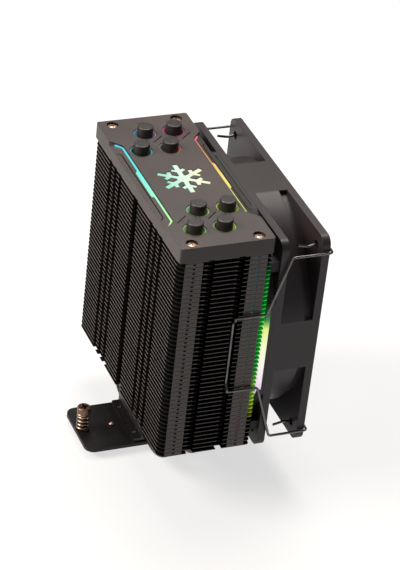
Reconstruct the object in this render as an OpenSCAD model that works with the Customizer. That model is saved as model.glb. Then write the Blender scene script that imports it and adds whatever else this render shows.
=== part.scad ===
// Tower heatsink with one 120 mm fan, four U-bent heat pipes and a lit top cover.
// Origin: centre of the processor contact face. +Z up the tower, +Y towards the fan, millimetres.

/* [Fin stack] */
// Length of a fin, along X
fin_w = 120; // [112:1:124]
// Depth of a fin, along Y
fin_d = 48; // [46:1:54]
// Thickness of one fin
fin_t = 0.4; // [0.3:0.05:0.6]
// Spacing of the fins
fin_pitch = 2.45; // [2.4:0.01:2.5]
// Number of fins
fin_count = 47; // [46:1:48]
// Height of the lowest fin above the mounting bar
fin_lift = 22.7; // [21.5:0.1:26]
// Radius of the fins' corners on the air exit side
fin_corner_r = 4.5; // [2:0.5:6]
// Radius of the fins' corners on the fan side
fin_fan_r = 1.5; // [0.5:0.5:2]
// Width of a folded tab strip on the short sides
tab_w = 9; // [7:0.5:10]
// Distance of a tab strip's centre from the fin's long edge
tab_inset = 7.6; // [7:0.1:8.4]
// Width of the interlock window in a tab
tab_window_w = 1.4; // [1:0.1:3]
// Seam between a tab and the next fin
tab_seam = 0.2; // [0.05:0.05:0.3]
// Width of the grooves that take the fan clips
groove_w = 3.2; // [2.4:0.1:4]
// Depth of those grooves
groove_d = 2.8; // [2.5:0.1:4]
// Distance of a groove's centre from the middle of the short side
groove_y = 7.7; // [6:0.1:8.5]
// Width of the notches in the air exit edge
notch_w = 3.2; // [2:0.1:4]
// Depth of those notches
notch_d = 2.4; // [1:0.1:4]
// Distance of the first notch of each group from the middle
notch_x = 22; // [18:0.5:26]
// Spacing of the notches in a group
notch_pitch = 6.8; // [5:0.1:8]
// Number of notches in a group
notch_count = 3; // [2:1:4]
// Width of the middle notch
mid_notch_w = 5.8; // [3:0.1:8]

/* [Heat pipes] */
// Diameter of a heat pipe
pipe_d = 6; // [5:0.5:6]
// Spacing of the pipes along Y
pipe_pitch = 7.6; // [7.4:0.1:8]
// Distance of the inner legs from the middle, along X
leg_inner = 28.9; // [28:0.1:31]
// Distance of the outer legs from the middle, along X
leg_outer = 44.5; // [42:0.1:46]
// Bend radius of a pipe that ends in an inner leg
bend_inner = 11.4; // [9:0.1:11.5]
// Bend radius of a pipe that ends in an outer leg
bend_outer = 18.8; // [14:0.1:19]
// Clearance round a pipe
pipe_fit = 0.05; // [0.03:0.01:0.1]
// Diameter of the cap on a pipe's end
cap_d = 8; // [7.4:0.1:8.4]
// Height of a cap above the cover
cap_h = 4.3; // [2.5:0.1:6]

/* [Base] */
// Length of the contact pad, along X
pad_l = 26; // [22:0.5:27]
// Width of the contact pad, along Y
pad_w = 29; // [26:0.5:29.5]
// Height of the pad below the mounting bar
pad_h = 3.4; // [3:0.1:4]
// Clearance between the pad and the bar's window
pad_fit = 0.1; // [0.05:0.05:0.2]
// Length of the base block, along X
base_l = 34; // [32:0.5:34.5]
// Width of the base block, along Y
base_w = 31; // [30.5:0.1:32]
// Metal between the mounting bar and the pipes
base_floor = 0.6; // [0.4:0.1:1]
// Height of the pressure block above the pipes' centres
block_h = 4.6; // [4:0.1:5]
// Height of the ribs on the pressure block
rib_h = 2.4; // [1.5:0.1:3]
// Spacing of those ribs
rib_pitch = 3; // [2.6:0.1:4]
// Width of the ears that the bar is screwed to
ear_w = 4; // [3.8:0.1:4.5]
// Thickness of the ears
ear_t = 2; // [1.8:0.1:2.4]
// Distance of the bar's fixing screws from the middle, along X
bar_screw_x = 11; // [9:0.5:12]
// Thread diameter of those screws
bar_screw_d = 2.2; // [2:0.1:2.4]

/* [Mounting bar] */
// Length of the bar, along Y
bar_l = 89; // [88:0.5:92]
// Width of the bar, along X
bar_w = 36; // [34:0.5:37]
// Thickness of the bar
bar_t = 2; // [1.5:0.1:3]
// Radius of the bar's corners
bar_corner_r = 5; // [2:0.5:10]
// Distance of the pressed dimples from the middle of the bar
dimple_y = 25.2; // [23:0.1:30]
// Diameter of a dimple
dimple_d = 3.2; // [2:0.1:4]
// Distance between the two spring screws
screw_pitch = 82; // [76:0.5:83]
// Thread diameter of a spring screw
thread_d = 3; // [2.5:0.1:3.2]
// Diameter of its neck between the thread and the shank
neck_d = 3.4; // [3.3:0.1:3.5]
// Diameter of its plain shank
shank_d = 3.8; // [3.6:0.1:4.2]
// Diameter of its head
head_d = 7; // [6.8:0.1:8]
// Height of its head
head_h = 3.2; // [2.5:0.1:4]
// Height of the screw's tip above the contact face
tip_z = 0.5; // [0.3:0.1:1]
// Outer diameter of the spring
spring_d = 6.6; // [6.4:0.1:7.2]
// Wire diameter of the spring
spring_wire = 0.9; // [0.7:0.05:1]
// Length of the spring between the bar and the head
spring_l = 10.6; // [10:0.1:12]
// Number of turns
spring_turns = 5; // [4:1:5]
// Pitch of the closed turn at each end
end_pitch = 1.4; // [1.4:0.05:1.6]

/* [Cover] */
// Height of the cover's walls
cover_h = 8.1; // [7.8:0.1:10]
// Thickness of the cover's walls
cover_wall = 1.6; // [1.2:0.1:2]
// Thickness of the cover's raised panel
panel_t = 1.8; // [1.4:0.1:2.2]
// Width of a side ledge, from the raised panel to the cover's long edge
ledge_w = 5.5; // [5:0.1:6.5]
// Drop from the panel to a side ledge, at the panel
ledge_step = 0.7; // [0.4:0.1:1]
// Drop from the panel to a side ledge, at the cover's long edge
ledge_drop = 2.1; // [1.5:0.1:2.4]
// Half length of a side ledge at the cover's edge
ledge_x_out = 41; // [38:0.5:46]
// Half length of a side ledge at the panel
ledge_x_in = 34.6; // [30:0.1:36]
// Width of a light strip
strip_w = 0.9; // [0.7:0.1:1.5]
// Width of the wider middle part of a light strip
strip_wide_w = 2; // [1.6:0.1:2.4]
// Half length of that wider part
strip_wide_x = 11; // [6:0.5:16]
// Outer diameter of the light ring round a cap
ring_d = 11.2; // [10.4:0.1:11.6]
// Width of that light ring
ring_w = 0.6; // [0.5:0.1:1]
// Size of the snowflake window, across its arms
flake_d = 26; // [20:0.5:26]
// Width of the snowflake's arms
flake_w = 2.6; // [1.6:0.1:3]
// Distance of the cover screws from the cover's ends
cover_screw_end = 4.4; // [4.2:0.1:5]
// Distance of the cover screws from the cover's long edges
cover_screw_side = 7; // [6:0.1:9]
// Diameter of a cover screw's head
cover_screw_d = 5; // [4:0.1:5.2]
// Spacing of the light chips under a strip
chip_pitch = 12; // [8:0.5:14]
// Length of a light chip
chip_l = 3.5; // [2.5:0.1:5]
// Width of a light chip
chip_w = 2.8; // [1.6:0.1:3]

/* [Fan] */
// Side of the fan frame
fan_size = 120; // [118:1:120]
// Depth of the fan
fan_depth = 25; // [24.6:0.1:26]
// Gap between the fins and the fan
fan_gap = 4.2; // [4.1:0.1:5]
// Height of the fan above the heads of the spring screws
fan_lift = 5.8; // [5:0.1:7]
// Thickness of the two flanges
flange_t = 4; // [3:0.1:4.5]
// Radius of the frame's corners
fan_corner_r = 5; // [3:0.5:7]
// Distance of the screw holes from the frame's sides
hole_inset = 7.5; // [7.2:0.1:7.8]
// Diameter of the screw holes
hole_d = 4.3; // [4.2:0.1:4.6]
// Thinnest wall between the air duct and the frame's side
duct_wall = 2.4; // [2:0.1:2.6]
// Full thickness of the duct's wall, before the frame's flat sides cut it
shroud_wall = 4; // [3.7:0.1:4.4]
// Gap between the blades' tips and the duct
tip_gap = 0.9; // [0.7:0.1:1.5]
// Number of blades
blade_count = 9; // [7:1:9]
// Largest thickness of a blade
blade_t = 1.6; // [1.2:0.1:2]
// Height of a blade along the axis at the tip
blade_h = 15; // [12:0.5:15.5]
// Angle that a blade spans at the hub, in degrees
blade_span = 34; // [26:1:36]
// Diameter of the hub
hub_d = 42; // [41.8:0.1:44]
// Thickness of the hub's wall
hub_wall = 1.5; // [1.3:0.1:1.6]
// Diameter of the shaft
shaft_d = 3; // [2.8:0.1:3.2]
// Outer diameter of the bearing bush
bush_d = 6; // [5.6:0.1:6.2]
// Radial running clearance of the shaft
shaft_fit = 0.03; // [0.02:0.01:0.05]

/* [Light ring] */
// Width of the light ring behind the fan
halo_w = 6.6; // [5:0.1:7]
// Step from the air duct's wall to the ring's bore
halo_step = 0.2; // [0:0.1:0.6]
// Thickness of its black housing
halo_base_t = 1.6; // [1.4:0.1:1.8]
// Thickness of the housing's rim round the ring
halo_rim = 1.1; // [0.8:0.1:1.4]

/* [Fan clips] */
// Diameter of the clip wire
wire_d = 1.3; // [1.1:0.1:1.4]
// Clearance between the wire and the side of the fan
wire_side_gap = 0.65; // [0.6:0.05:1]
// Bend radius of the wire
wire_bend_r = 1.8; // [1.4:0.1:2]
// Half height of the part that crosses the fins
clip_waist = 21.5; // [19:0.5:24]

/* [Hidden] */
$fn = 48;
eps = 0.01;
// Small gap between pieces that lie on each other without a fit
seat_gap = 0.05;

// Heights, upwards
bar_z = pad_h;
bar_top = bar_z + bar_t;
head_z = bar_top + spring_l;
pipe_r = pipe_d / 2;
pipe_z = bar_top + base_floor + pipe_r;
fin_z0 = bar_top + fin_lift;
stack_top = fin_z0 + (fin_count - 1) * fin_pitch + fin_t;
cover_top = stack_top + cover_h;
tab_y = fin_d / 2 - tab_inset;
tray_t = 1.2;
board_t = 1;
chip_h = 0.6;
guide_t = 1.3;
board_z = stack_top + tray_t;
chip_z = board_z + board_t;
guide_z = chip_z + chip_h;
guide_top = guide_z + guide_t;
ledge_under = guide_top + 0.2;
cap_top = cover_top + cap_h;
pipe_top = cap_top - 1.3;

// Places on the cover
panel_y = fin_d / 2 - ledge_w;
ledge_slope = atan((ledge_drop - ledge_step) / ledge_w);
cover_screw_x = fin_w / 2 - cover_screw_end;
cover_screw_y = fin_d / 2 - cover_screw_side;
tray_margin = 0.5;
guide_l = 2 * leg_outer + ring_d + 2;
guide_d = 2 * (panel_y + 0.1 + strip_wide_w) + 1.2;
strip_fit = 0.1;
strip_y = panel_y + strip_fit;
strip_top = cover_top - ledge_step - 0.05;
ring_top = cover_top - 0.4;
flake_top = cover_top - 0.3;
recess_r = cover_screw_d / 2 + 0.45;
recess_depth = 1.7;
recess_floor = 1.2;
cover_screw_r = 1.2;
pillar_r = 2.5;
pillar_bore_r = cover_screw_r + seat_gap;

// The fan, in its own frame: z from the fin side to the air inlet
fan_z = head_z + head_h + fan_lift + fan_size / 2;
fan_y = fin_d / 2 + fan_gap;
hole_pitch = fan_size - 2 * hole_inset;
duct_d = fan_size - 2 * duct_wall;
shroud_d = duct_d + 2 * shroud_wall;
impeller_d = duct_d - 2 * tip_gap;
fan_face_y = fan_y + fan_depth;
panel_half = sqrt(pow(shroud_d / 2, 2) - pow(fan_size / 2, 2));
shroud_step_r = duct_d / 2 + 1.7;
shroud_band_top = fan_depth - flange_t - 4.4;
plate_t = 2;
plate_r = hub_d / 2 + 1;
strut_count = 4;
strut_w = 4;
strut_t = 3;
tube_r = bush_d / 2 + 1.5;
tube_top = fan_depth - 8;
hub_r = hub_d / 2;
hub_top = fan_depth - 1.5;
hub_cap_t = 1.8;
hub_z = plate_t + 3;
hub_boss_r = 4;
yoke_r = hub_r - hub_wall - seat_gap;
yoke_t = 1.2;
magnet_r = yoke_r - yoke_t - seat_gap;
magnet_t = 1.8;
magnet_z = hub_z + 1;
magnet_h = 9;
stator_r = magnet_r - magnet_t - 0.5;
stator_z = hub_z + 1.2;
stator_h = 8;
stator_bore_r = tube_r + seat_gap;
pole_count = 4;
pole_w = 4;
core_ring = 3;
pole_shoe = 2;
coil_t = 1.6;
coil_gap = 0.15;
fan_board_r = hub_r - 2;
shaft_r = shaft_d / 2;
shaft_end = plate_t + 0.4;
retainer_t = 0.3;
retainer_z = plate_t + 1.1;
bush_z = retainer_z + retainer_t + 0.2;
bush_top = tube_top - 0.2;
blade_mid_z = 12.8;
blade_root_r = hub_r - 0.6;
blade_tip_r = impeller_d / 2;

// The light ring behind the fan, at z below 0 in the fan's frame
halo_bore = duct_d + 2 * halo_step;
halo_d = halo_bore + 2 * halo_w;
halo_light_t = fan_gap - halo_base_t - 0.3;
halo_rim_r = halo_d / 2 + 0.15;
halo_strip_r = halo_bore / 2 + 1.2;
halo_strip_t = 0.4;
halo_led_count = 12;

// Fan clips
wire_r = wire_d / 2;
clip_x = max(fan_size, fin_w) / 2 + wire_side_gap + wire_r;
clip_out_y = fan_face_y + 0.45 + wire_r;
clip_pivot_y = fan_face_y - flange_t / 2;
hole_xz = hole_pitch / 2;

// Spring screws
clip_t = 0.6;
clip_z = bar_z - 0.1 - clip_t;
clip_groove_r = thread_d / 2 - 0.2;
clip_side = 0.06;
clip_shoulder = 0.5;
neck_z = clip_z - clip_side - clip_shoulder;
spring_r = (spring_d - spring_wire) / 2;

// ---------------------------------------------------------------- helpers

// Rectangle with round corners, centred, flat
module round_rect(w, d, r) {
    square([w - 2 * r, d], center = true);
    square([w, d - 2 * r], center = true);
    for (x = [-1, 1], y = [-1, 1])
        translate([x * (w / 2 - r), y * (d / 2 - r)]) circle(r = r);
}

// Flat ring
module ring(r_out, r_in) {
    difference() {
        circle(r = r_out, $fn = 96);
        circle(r = r_in, $fn = 96);
    }
}

// Copies mirrored in X, in Y and in both
module four_ways() {
    for (x = [0, 1], y = [0, 1]) mirror([x, 0, 0]) mirror([0, y, 0]) children();
}

function unit(v) = v / norm(v);
function turn_side(n, t) = unit(n - (n * t) * t);

// Tangent of a path at point i
function path_dir(p, i) = unit(p[min(i + 1, len(p) - 1)] - p[max(i - 1, 0)]);

// A side vector at each point that doesn't twist along the path
function path_sides(p, first) = [
    for (i = 0, n = turn_side(first, path_dir(p, 0)); i < len(p);
         i = i + 1, n = i < len(p) ? turn_side(n, path_dir(p, i)) : n) n
];

// One closed tube along a path, with flat ends
module tube_along(p, r, sides, first) {
    n = len(p);
    side = path_sides(p, first);
    points = [
        for (i = [0 : n - 1]) let (t = path_dir(p, i), b = cross(t, side[i]))
            for (k = [0 : sides - 1]) let (a = 360 * k / sides)
                p[i] + r * (cos(a) * side[i] + sin(a) * b)
    ];
    walls = [
        for (i = [0 : n - 2], k = [0 : sides - 1])
            let (a = i * sides + k, b = i * sides + (k + 1) % sides)
                each [[a, a + sides, b], [b, a + sides, b + sides]]
    ];
    start = [for (k = [1 : sides - 2]) [0, k, k + 1]];
    last = (n - 1) * sides;
    end = [for (k = [1 : sides - 2]) [last, last + k + 1, last + k]];
    polyhedron(points = points, faces = concat(walls, start, end), convexity = 8);
}

// Points of one rounded corner at b, on the way from a to c
function corner_arc(a, b, c, r, steps) =
    let (
        u = unit(a - b),
        v = unit(c - b),
        half = acos(u * v) / 2,
        back = min(r / tan(half), norm(a - b) / 2.02, norm(c - b) / 2.02),
        rr = back * tan(half),
        mid = b + unit(u + v) * (rr / sin(half)),
        from = unit(b + u * back - mid),
        axis = unit(cross(u, v)),
        toward = cross(axis, from) * ((cross(axis, from) * (v - u)) > 0 ? 1 : -1),
        span = 180 - 2 * half
    )
    [for (k = [0 : steps]) let (w = span * k / steps) mid + rr * (cos(w) * from + sin(w) * toward)];

// A path with its corners rounded
function rounded_path(p, r, steps = 4) = concat(
    [p[0]],
    [for (i = [1 : len(p) - 2]) each corner_arc(p[i - 1], p[i], p[i + 1], r, steps)],
    [p[len(p) - 1]]
);

// Puts a piece drawn in the fan's own frame in its place
module on_fan() {
    translate([0, fan_y, fan_z]) rotate([-90, 0, 0]) children();
}

// ---------------------------------------------------------------- heat pipes and fins

// Pipe i, 0 to 3, along Y
function pipe_y(i) = (i - 1.5) * pipe_pitch;
// Legs are staggered: a pipe's far leg is an inner one where its near leg is an outer one
function pipe_leg(i, side) = ((i % 2 == 0) == (side > 0)) ? leg_outer : leg_inner;
function pipe_bend(i, side) = ((i % 2 == 0) == (side > 0)) ? bend_outer : bend_inner;

module pipe_half(i, side, grow) {
    leg = pipe_leg(i, side);
    bend = pipe_bend(i, side);
    r = pipe_r + grow;
    mirror([side < 0 ? 1 : 0, 0, 0]) {
        rotate([0, 90, 0]) cylinder(r = r, h = leg - bend);
        translate([leg - bend, 0, bend]) rotate([90, 0, 0]) rotate([0, 0, -90])
            rotate_extrude(angle = 90) translate([bend, 0]) circle(r = r);
        translate([leg, 0, bend]) cylinder(r = r, h = pipe_top - pipe_z - bend);
    }
}

// A U-bent pipe
module heat_pipe(i, grow = 0) {
    translate([0, pipe_y(i), pipe_z]) {
        pipe_half(i, -1, grow);
        pipe_half(i, 1, grow);
    }
}

module heat_pipe_1() { color("dimgray") heat_pipe(0); }
module heat_pipe_2() { color("dimgray") heat_pipe(1); }
module heat_pipe_3() { color("dimgray") heat_pipe(2); }
module heat_pipe_4() { color("dimgray") heat_pipe(3); }

// Children at the eight places where a pipe's leg passes
module at_legs() {
    for (i = [0 : 3], side = [-1, 1]) translate([side * pipe_leg(i, side), pipe_y(i)]) children();
}

module fin_outline() {
    difference() {
        union() {
            round_rect(fin_w, fin_d, fin_corner_r);
            translate([0, fin_d / 4]) round_rect(fin_w, fin_d / 2, fin_fan_r);
        }
        // Grooves for the fan clips
        for (x = [-1, 1], y = [-1, 1])
            translate([x * fin_w / 2, y * groove_y]) square([2 * groove_d, groove_w], center = true);
        // Notches in the air exit edge
        for (x = [-1, 1], k = [0 : notch_count - 1])
            translate([x * (notch_x + k * notch_pitch), -fin_d / 2])
                square([notch_w, 2 * notch_d], center = true);
        translate([0, -fin_d / 2]) square([mid_notch_w, 2 * notch_d], center = true);
        at_legs() circle(r = pipe_r + pipe_fit);
    }
}

// Folded tab that spaces two fins, with its interlock window
module fin_tab() {
    h = fin_pitch - fin_t - tab_seam;
    translate([fin_w / 2 - fin_t, -tab_w / 2, fin_t]) difference() {
        translate([0, 0, -fin_t]) cube([fin_t, tab_w, h + fin_t]);
        translate([-1, (tab_w - tab_window_w) / 2, 0.3 * h]) cube([2, tab_window_w, 0.45 * h]);
    }
}

module fin(tabs = true) {
    linear_extrude(fin_t) fin_outline();
    if (tabs)
        for (x = [0, 1], y = [-1, 1]) mirror([x, 0, 0]) translate([0, y * tab_y, 0]) fin_tab();
}

module fin_stack() {
    color("#1b1a1c")
        for (k = [0 : fin_count - 1])
            translate([0, 0, fin_z0 + k * fin_pitch]) fin(tabs = k < fin_count - 1);
}

module pipe_caps() {
    r = cap_d / 2;
    edge = 0.5;
    color("#242124") translate([0, 0, guide_top]) at_legs() difference() {
        rotate_extrude() {
            square([r, cap_top - guide_top - edge]);
            square([r - edge, cap_top - guide_top]);
            translate([r - edge, cap_top - guide_top - edge]) circle(r = edge);
        }
        translate([0, 0, -eps]) cylinder(r = pipe_r + pipe_fit, h = pipe_top - guide_top + seat_gap + eps);
    }
}

// ---------------------------------------------------------------- base and mounting bar

bar_screw_r = bar_screw_d / 2;
bar_screw_head_r = 1.7 * bar_screw_r;
bar_screw_y = base_w / 2 + ear_w / 2;
bar_screw_l = bar_t + ear_t - 0.3;
ear_r = 1;

// Straight pipe seats through the base
module pipe_seats() {
    for (i = [0 : 3]) translate([-base_l, pipe_y(i), pipe_z]) rotate([0, 90, 0])
        cylinder(r = pipe_r + pipe_fit, h = 2 * base_l);
}

// Lower half of the base: the contact pad goes through the bar's window, the ears lie on the bar
module base_plate() {
    bevel = 0.6;
    color("dimgray") difference() {
        union() {
            translate([0, 0, bevel]) linear_extrude(bar_top - bevel)
                square([pad_l, pad_w], center = true);
            linear_extrude(bevel) square([pad_l - 2 * bevel, pad_w - 2 * bevel], center = true);
            translate([-base_l / 2, -base_w / 2, bar_top]) cube([base_l, base_w, pipe_z - bar_top]);
            translate([0, 0, bar_top]) linear_extrude(ear_t)
                round_rect(base_l, base_w + 2 * ear_w, ear_r);
        }
        pipe_seats();
        four_ways() translate([bar_screw_x, bar_screw_y, bar_top - 1])
            cylinder(r = bar_screw_r + seat_gap, h = ear_t + 2);
    }
}

// Upper half of the base, with a few cooling ribs
module base_block() {
    rib_t = 1;
    rib_count = floor((base_w - rib_t) / rib_pitch / 2);
    color("#1d1b1c") difference() {
        translate([0, 0, pipe_z + seat_gap]) {
            translate([-base_l / 2, -base_w / 2, 0]) cube([base_l, base_w, block_h - seat_gap]);
            for (k = [-rib_count : rib_count])
                translate([-base_l / 2, k * rib_pitch - rib_t / 2, block_h - seat_gap - eps])
                    cube([base_l, rib_t, rib_h]);
        }
        pipe_seats();
    }
}

module mounting_bar() {
    dimple_r = dimple_d / 2;
    color("#1c1a1b") difference() {
        union() {
            translate([0, 0, bar_z]) linear_extrude(bar_t) round_rect(bar_w, bar_l, bar_corner_r);
            // Pressed dimples between the base and the spring screws
            for (y = [-1, 1]) translate([0, y * dimple_y, bar_top - 0.4]) intersection() {
                sphere(r = dimple_r);
                cylinder(r = dimple_r, h = 2 * dimple_r);
            }
        }
        for (y = [-1, 1]) translate([0, y * screw_pitch / 2, bar_z - 1])
            cylinder(r = shank_d / 2 + 0.3, h = bar_t + 2);
        // Window for the contact pad
        translate([0, 0, bar_z - 1]) linear_extrude(bar_t + 2)
            square([pad_l + 2 * pad_fit, pad_w + 2 * pad_fit], center = true);
        four_ways() translate([bar_screw_x, bar_screw_y, bar_z - 1]) {
            cylinder(r = bar_screw_r + 0.1, h = bar_t + 2);
            cylinder(r = bar_screw_head_r + 0.1, h = 2);
        }
    }
}

// Cross recess of a screw head, cut downwards from z = 0
module cross_recess(size, depth) {
    for (a = [0, 90]) rotate(a) translate([-size / 2, -size / 8, -depth]) cube([size, size / 4, depth + 1]);
}

module bar_screws() {
    head = 1;
    color("gray") four_ways() translate([bar_screw_x, bar_screw_y, bar_z]) difference() {
        union() {
            cylinder(r = bar_screw_head_r, h = head);
            cylinder(r = bar_screw_r, h = bar_screw_l);
        }
        mirror([0, 0, 1]) cross_recess(2 * bar_screw_head_r - 1, 0.7);
    }
}

module spring_screw(y) {
    edge = 0.6;
    r = head_d / 2;
    translate([0, y, 0]) difference() {
        union() {
            translate([0, 0, tip_z + 0.3]) cylinder(r = thread_d / 2, h = head_z - tip_z - 0.3);
            translate([0, 0, tip_z]) cylinder(r1 = thread_d / 2 - 0.3, r2 = thread_d / 2, h = 0.3);
            translate([0, 0, neck_z]) cylinder(r = neck_d / 2, h = bar_z - neck_z);
            translate([0, 0, bar_z]) cylinder(r = shank_d / 2, h = head_z - bar_z);
            translate([0, 0, head_z]) rotate_extrude() {
                square([r, head_h - edge]);
                square([r - edge, head_h]);
                translate([r - edge, head_h - edge]) circle(r = edge);
            }
        }
        translate([0, 0, head_z + head_h]) cross_recess(head_d - 2.4, 1.8);
        // Groove of the retaining clip
        translate([0, 0, clip_z - clip_side]) linear_extrude(clip_t + 2 * clip_side)
            ring(neck_d, clip_groove_r);
    }
}

module spring_screw_rear() { color("#4a4442") spring_screw(-screw_pitch / 2); }
module spring_screw_front() { color("#4a4442") spring_screw(screw_pitch / 2); }

module e_clip(y) {
    r = 3.2;
    color("gray") translate([0, y, clip_z]) linear_extrude(clip_t) difference() {
        ring(r, clip_groove_r + 0.05);
        translate([0, 0.6 * clip_groove_r - r]) square([1.6 * clip_groove_r, 2 * r], center = true);
        for (a = [35, 145]) rotate(a) translate([clip_groove_r + 0.9, 0]) circle(r = 0.6);
    }
}

module e_clip_rear() { e_clip(-screw_pitch / 2); }
module e_clip_front() { e_clip(screw_pitch / 2); }

// Height of the spring's wire after t turns: closed turns at both ends, even turns between
spring_rise = spring_l - spring_wire - 2 * seat_gap;
mid_pitch = (spring_rise - 2 * end_pitch) / (spring_turns - 2);
function spring_height(t) =
    t < 1 ? t * end_pitch
    : t > spring_turns - 1 ? spring_rise - (spring_turns - t) * end_pitch
    : end_pitch + (t - 1) * mid_pitch;

spring_rings = 8;
spring_path = [
    for (k = [0 : spring_turns * spring_rings]) let (t = k / spring_rings)
        [spring_r * cos(360 * t), spring_r * sin(360 * t), spring_height(t)]
];
// Least gap between wires one turn apart, measured on the path's points
spring_gaps = [
    for (i = [0 : len(spring_path) - 1 - spring_rings], k = [-2 : 2])
        let (j = i + spring_rings + k)
            if (j < len(spring_path) && j > i + spring_rings / 2)
                norm(spring_path[i] - spring_path[j]) - spring_wire
];
echo(spring_least_gap = min(spring_gaps));

module screw_spring(y) {
    color("#b08466") translate([0, y, bar_top + seat_gap + spring_wire / 2])
        tube_along(spring_path, spring_wire / 2, 6, [1, 0, 0]);
}

module screw_spring_rear() { screw_spring(-screw_pitch / 2); }
module screw_spring_front() { screw_spring(screw_pitch / 2); }

// ---------------------------------------------------------------- cover

module cover_tray() {
    pillar_top = cover_top - recess_depth - recess_floor - seat_gap;
    margin = cover_wall + tray_margin;
    color("#262427") difference() {
        union() {
            translate([0, 0, stack_top]) linear_extrude(tray_t)
                round_rect(fin_w - 2 * margin, fin_d - 2 * margin, 2);
            four_ways() translate([cover_screw_x, cover_screw_y, stack_top])
                cylinder(r = pillar_r, h = pillar_top - stack_top);
        }
        translate([0, 0, stack_top - 1]) at_legs() cylinder(r = pipe_r + 0.3, h = tray_t + 2);
        four_ways() translate([cover_screw_x, cover_screw_y, pillar_top - 3.2])
            cylinder(r = pillar_bore_r, h = 4);
    }
}

module cover_led_board() {
    color("#e8e6df") translate([0, 0, board_z]) linear_extrude(board_t) difference() {
        round_rect(guide_l, guide_d, 1.5);
        at_legs() circle(r = pipe_r + 0.4);
    }
}

// Light chips: a row under each strip and four under the snowflake
chip = [chip_l, chip_w];
chip_xs = [for (k = [-3 : 3]) k * chip_pitch];

module cover_leds() {
    color("white") translate([0, 0, chip_z]) linear_extrude(chip_h) {
        for (x = chip_xs, y = [-1, 1]) translate([x, y * strip_y]) square(chip, center = true);
        for (x = [-1, 1], y = [-1, 1]) translate([x, y] * flake_d / 4) square(chip, center = true);
    }
}

// A light strip as seen from above, on the +Y side: a thin line with a wider middle
// part and both ends bent out. grow widens it for the slot in the cover.
module strip_shape(grow = 0) {
    y0 = strip_y - grow;
    y1 = strip_y + strip_w + grow;
    y2 = strip_y + strip_wide_w + grow;
    end_out = 2.6;
    end_x = 3.4;
    x1 = ledge_x_in;
    polygon([
        [-x1 - grow, y0], [-x1 - end_x - grow, y0 + end_out], [-x1 - end_x - grow, y1 + end_out],
        [-x1 + 0.4, y1],
        [-strip_wide_x - 1.2, y1], [-strip_wide_x, y2], [strip_wide_x, y2], [strip_wide_x + 1.2, y1],
        [x1 - 0.4, y1],
        [x1 + end_x + grow, y1 + end_out], [x1 + end_x + grow, y0 + end_out], [x1 + grow, y0]
    ]);
}

// Six-armed snowflake, seen from above. grow widens it for the opening in the cover.
module snowflake(grow = 0) {
    r = flake_d / 2;
    w = flake_w + 2 * grow;
    side_w = 0.8 * flake_w + 2 * grow;
    side_l = 0.3 * r;
    for (k = [0 : 5]) rotate(60 * k) {
        translate([0, -w / 2]) square([r + grow, w]);
        translate([0.5 * r, 0]) for (s = [-1, 1])
            rotate(60 * s) translate([0, -side_w / 2]) square([side_l + grow, side_w]);
    }
    circle(r = 0.3 * r + grow, $fn = 6);
}

module light_guide() {
    color("#dff5ea") {
        translate([0, 0, guide_z]) linear_extrude(guide_t) difference() {
            round_rect(guide_l, guide_d, 1.5);
            at_legs() circle(r = ring_d / 2 - ring_w);
        }
        translate([0, 0, guide_top - eps]) {
            for (m = [0, 1]) mirror([0, m, 0])
                linear_extrude(strip_top - guide_top + eps) strip_shape();
            linear_extrude(ring_top - guide_top + eps) at_legs() ring(ring_d / 2, ring_d / 2 - ring_w);
            linear_extrude(flake_top - guide_top + eps) snowflake();
        }
    }
}

// Outline of the raised panel, inset all round by g
function panel_outline(g) =
    let (
        x = fin_w / 2 + 1 - g,
        y = fin_d / 2 + 1 - g,
        slope = (ledge_x_out - ledge_x_in) / (fin_d / 2 - panel_y),
        p = panel_y - g,
        xo = ledge_x_out + slope + g,
        xi = ledge_x_in + g,
        half = [[x, -y], [x, y], [xo, y], [xi, p], [-xi, p], [-xo, y]]
    )
    concat(half, [for (q = half) -q]);

module cover_plan(inset) {
    round_rect(fin_w - 2 * inset, fin_d - 2 * inset, 1.2);
}

// The cover's cross-section: between the two sloping side ledges it reaches up to their tops
module cover_section() {
    out = 1;
    y = fin_d / 2 + out;
    low = cover_top - ledge_drop - out * tan(ledge_slope);
    top = cover_top - ledge_step;
    translate([-fin_w, 0, 0]) rotate([90, 0, 90]) linear_extrude(2 * fin_w) polygon([
        [-y, stack_top - 1], [y, stack_top - 1], [y, low], [panel_y, top], [-panel_y, top], [-y, low]
    ]);
}

// Children drawn on both side ledges, y from the panel's edge outwards along the slope
module on_ledges() {
    for (m = [0, 1]) mirror([0, m, 0])
        translate([0, panel_y, cover_top - ledge_step]) rotate([-ledge_slope, 0, 0]) children();
}

// Fine engraved line along each side ledge
module cover_lines() {
    line = 0.45;
    depth = 0.4;
    y = 0.53 * ledge_w;
    x = ledge_x_in - 5;
    on_ledges() translate([0, 0, -depth]) linear_extrude(1) {
        translate([-x, y]) square([2 * x, line]);
        translate([-x, y]) rotate(138) translate([0, -line]) square([2.4, line]);
        translate([x, y]) rotate(42) square([2.4, line]);
    }
}

// Engraved diagonals between the caps
module cover_diagonals() {
    x = (leg_inner + leg_outer) / 2 - 0.8;
    len = 8.4;
    for (s = [-1, 1], k = [-1, 1])
        translate([s * x, (k - s * 0.05) * pipe_pitch, cover_top - 0.4])
            rotate(133) translate([-len / 2, -0.25, 0]) cube([len, 0.5, 1]);
}

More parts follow.
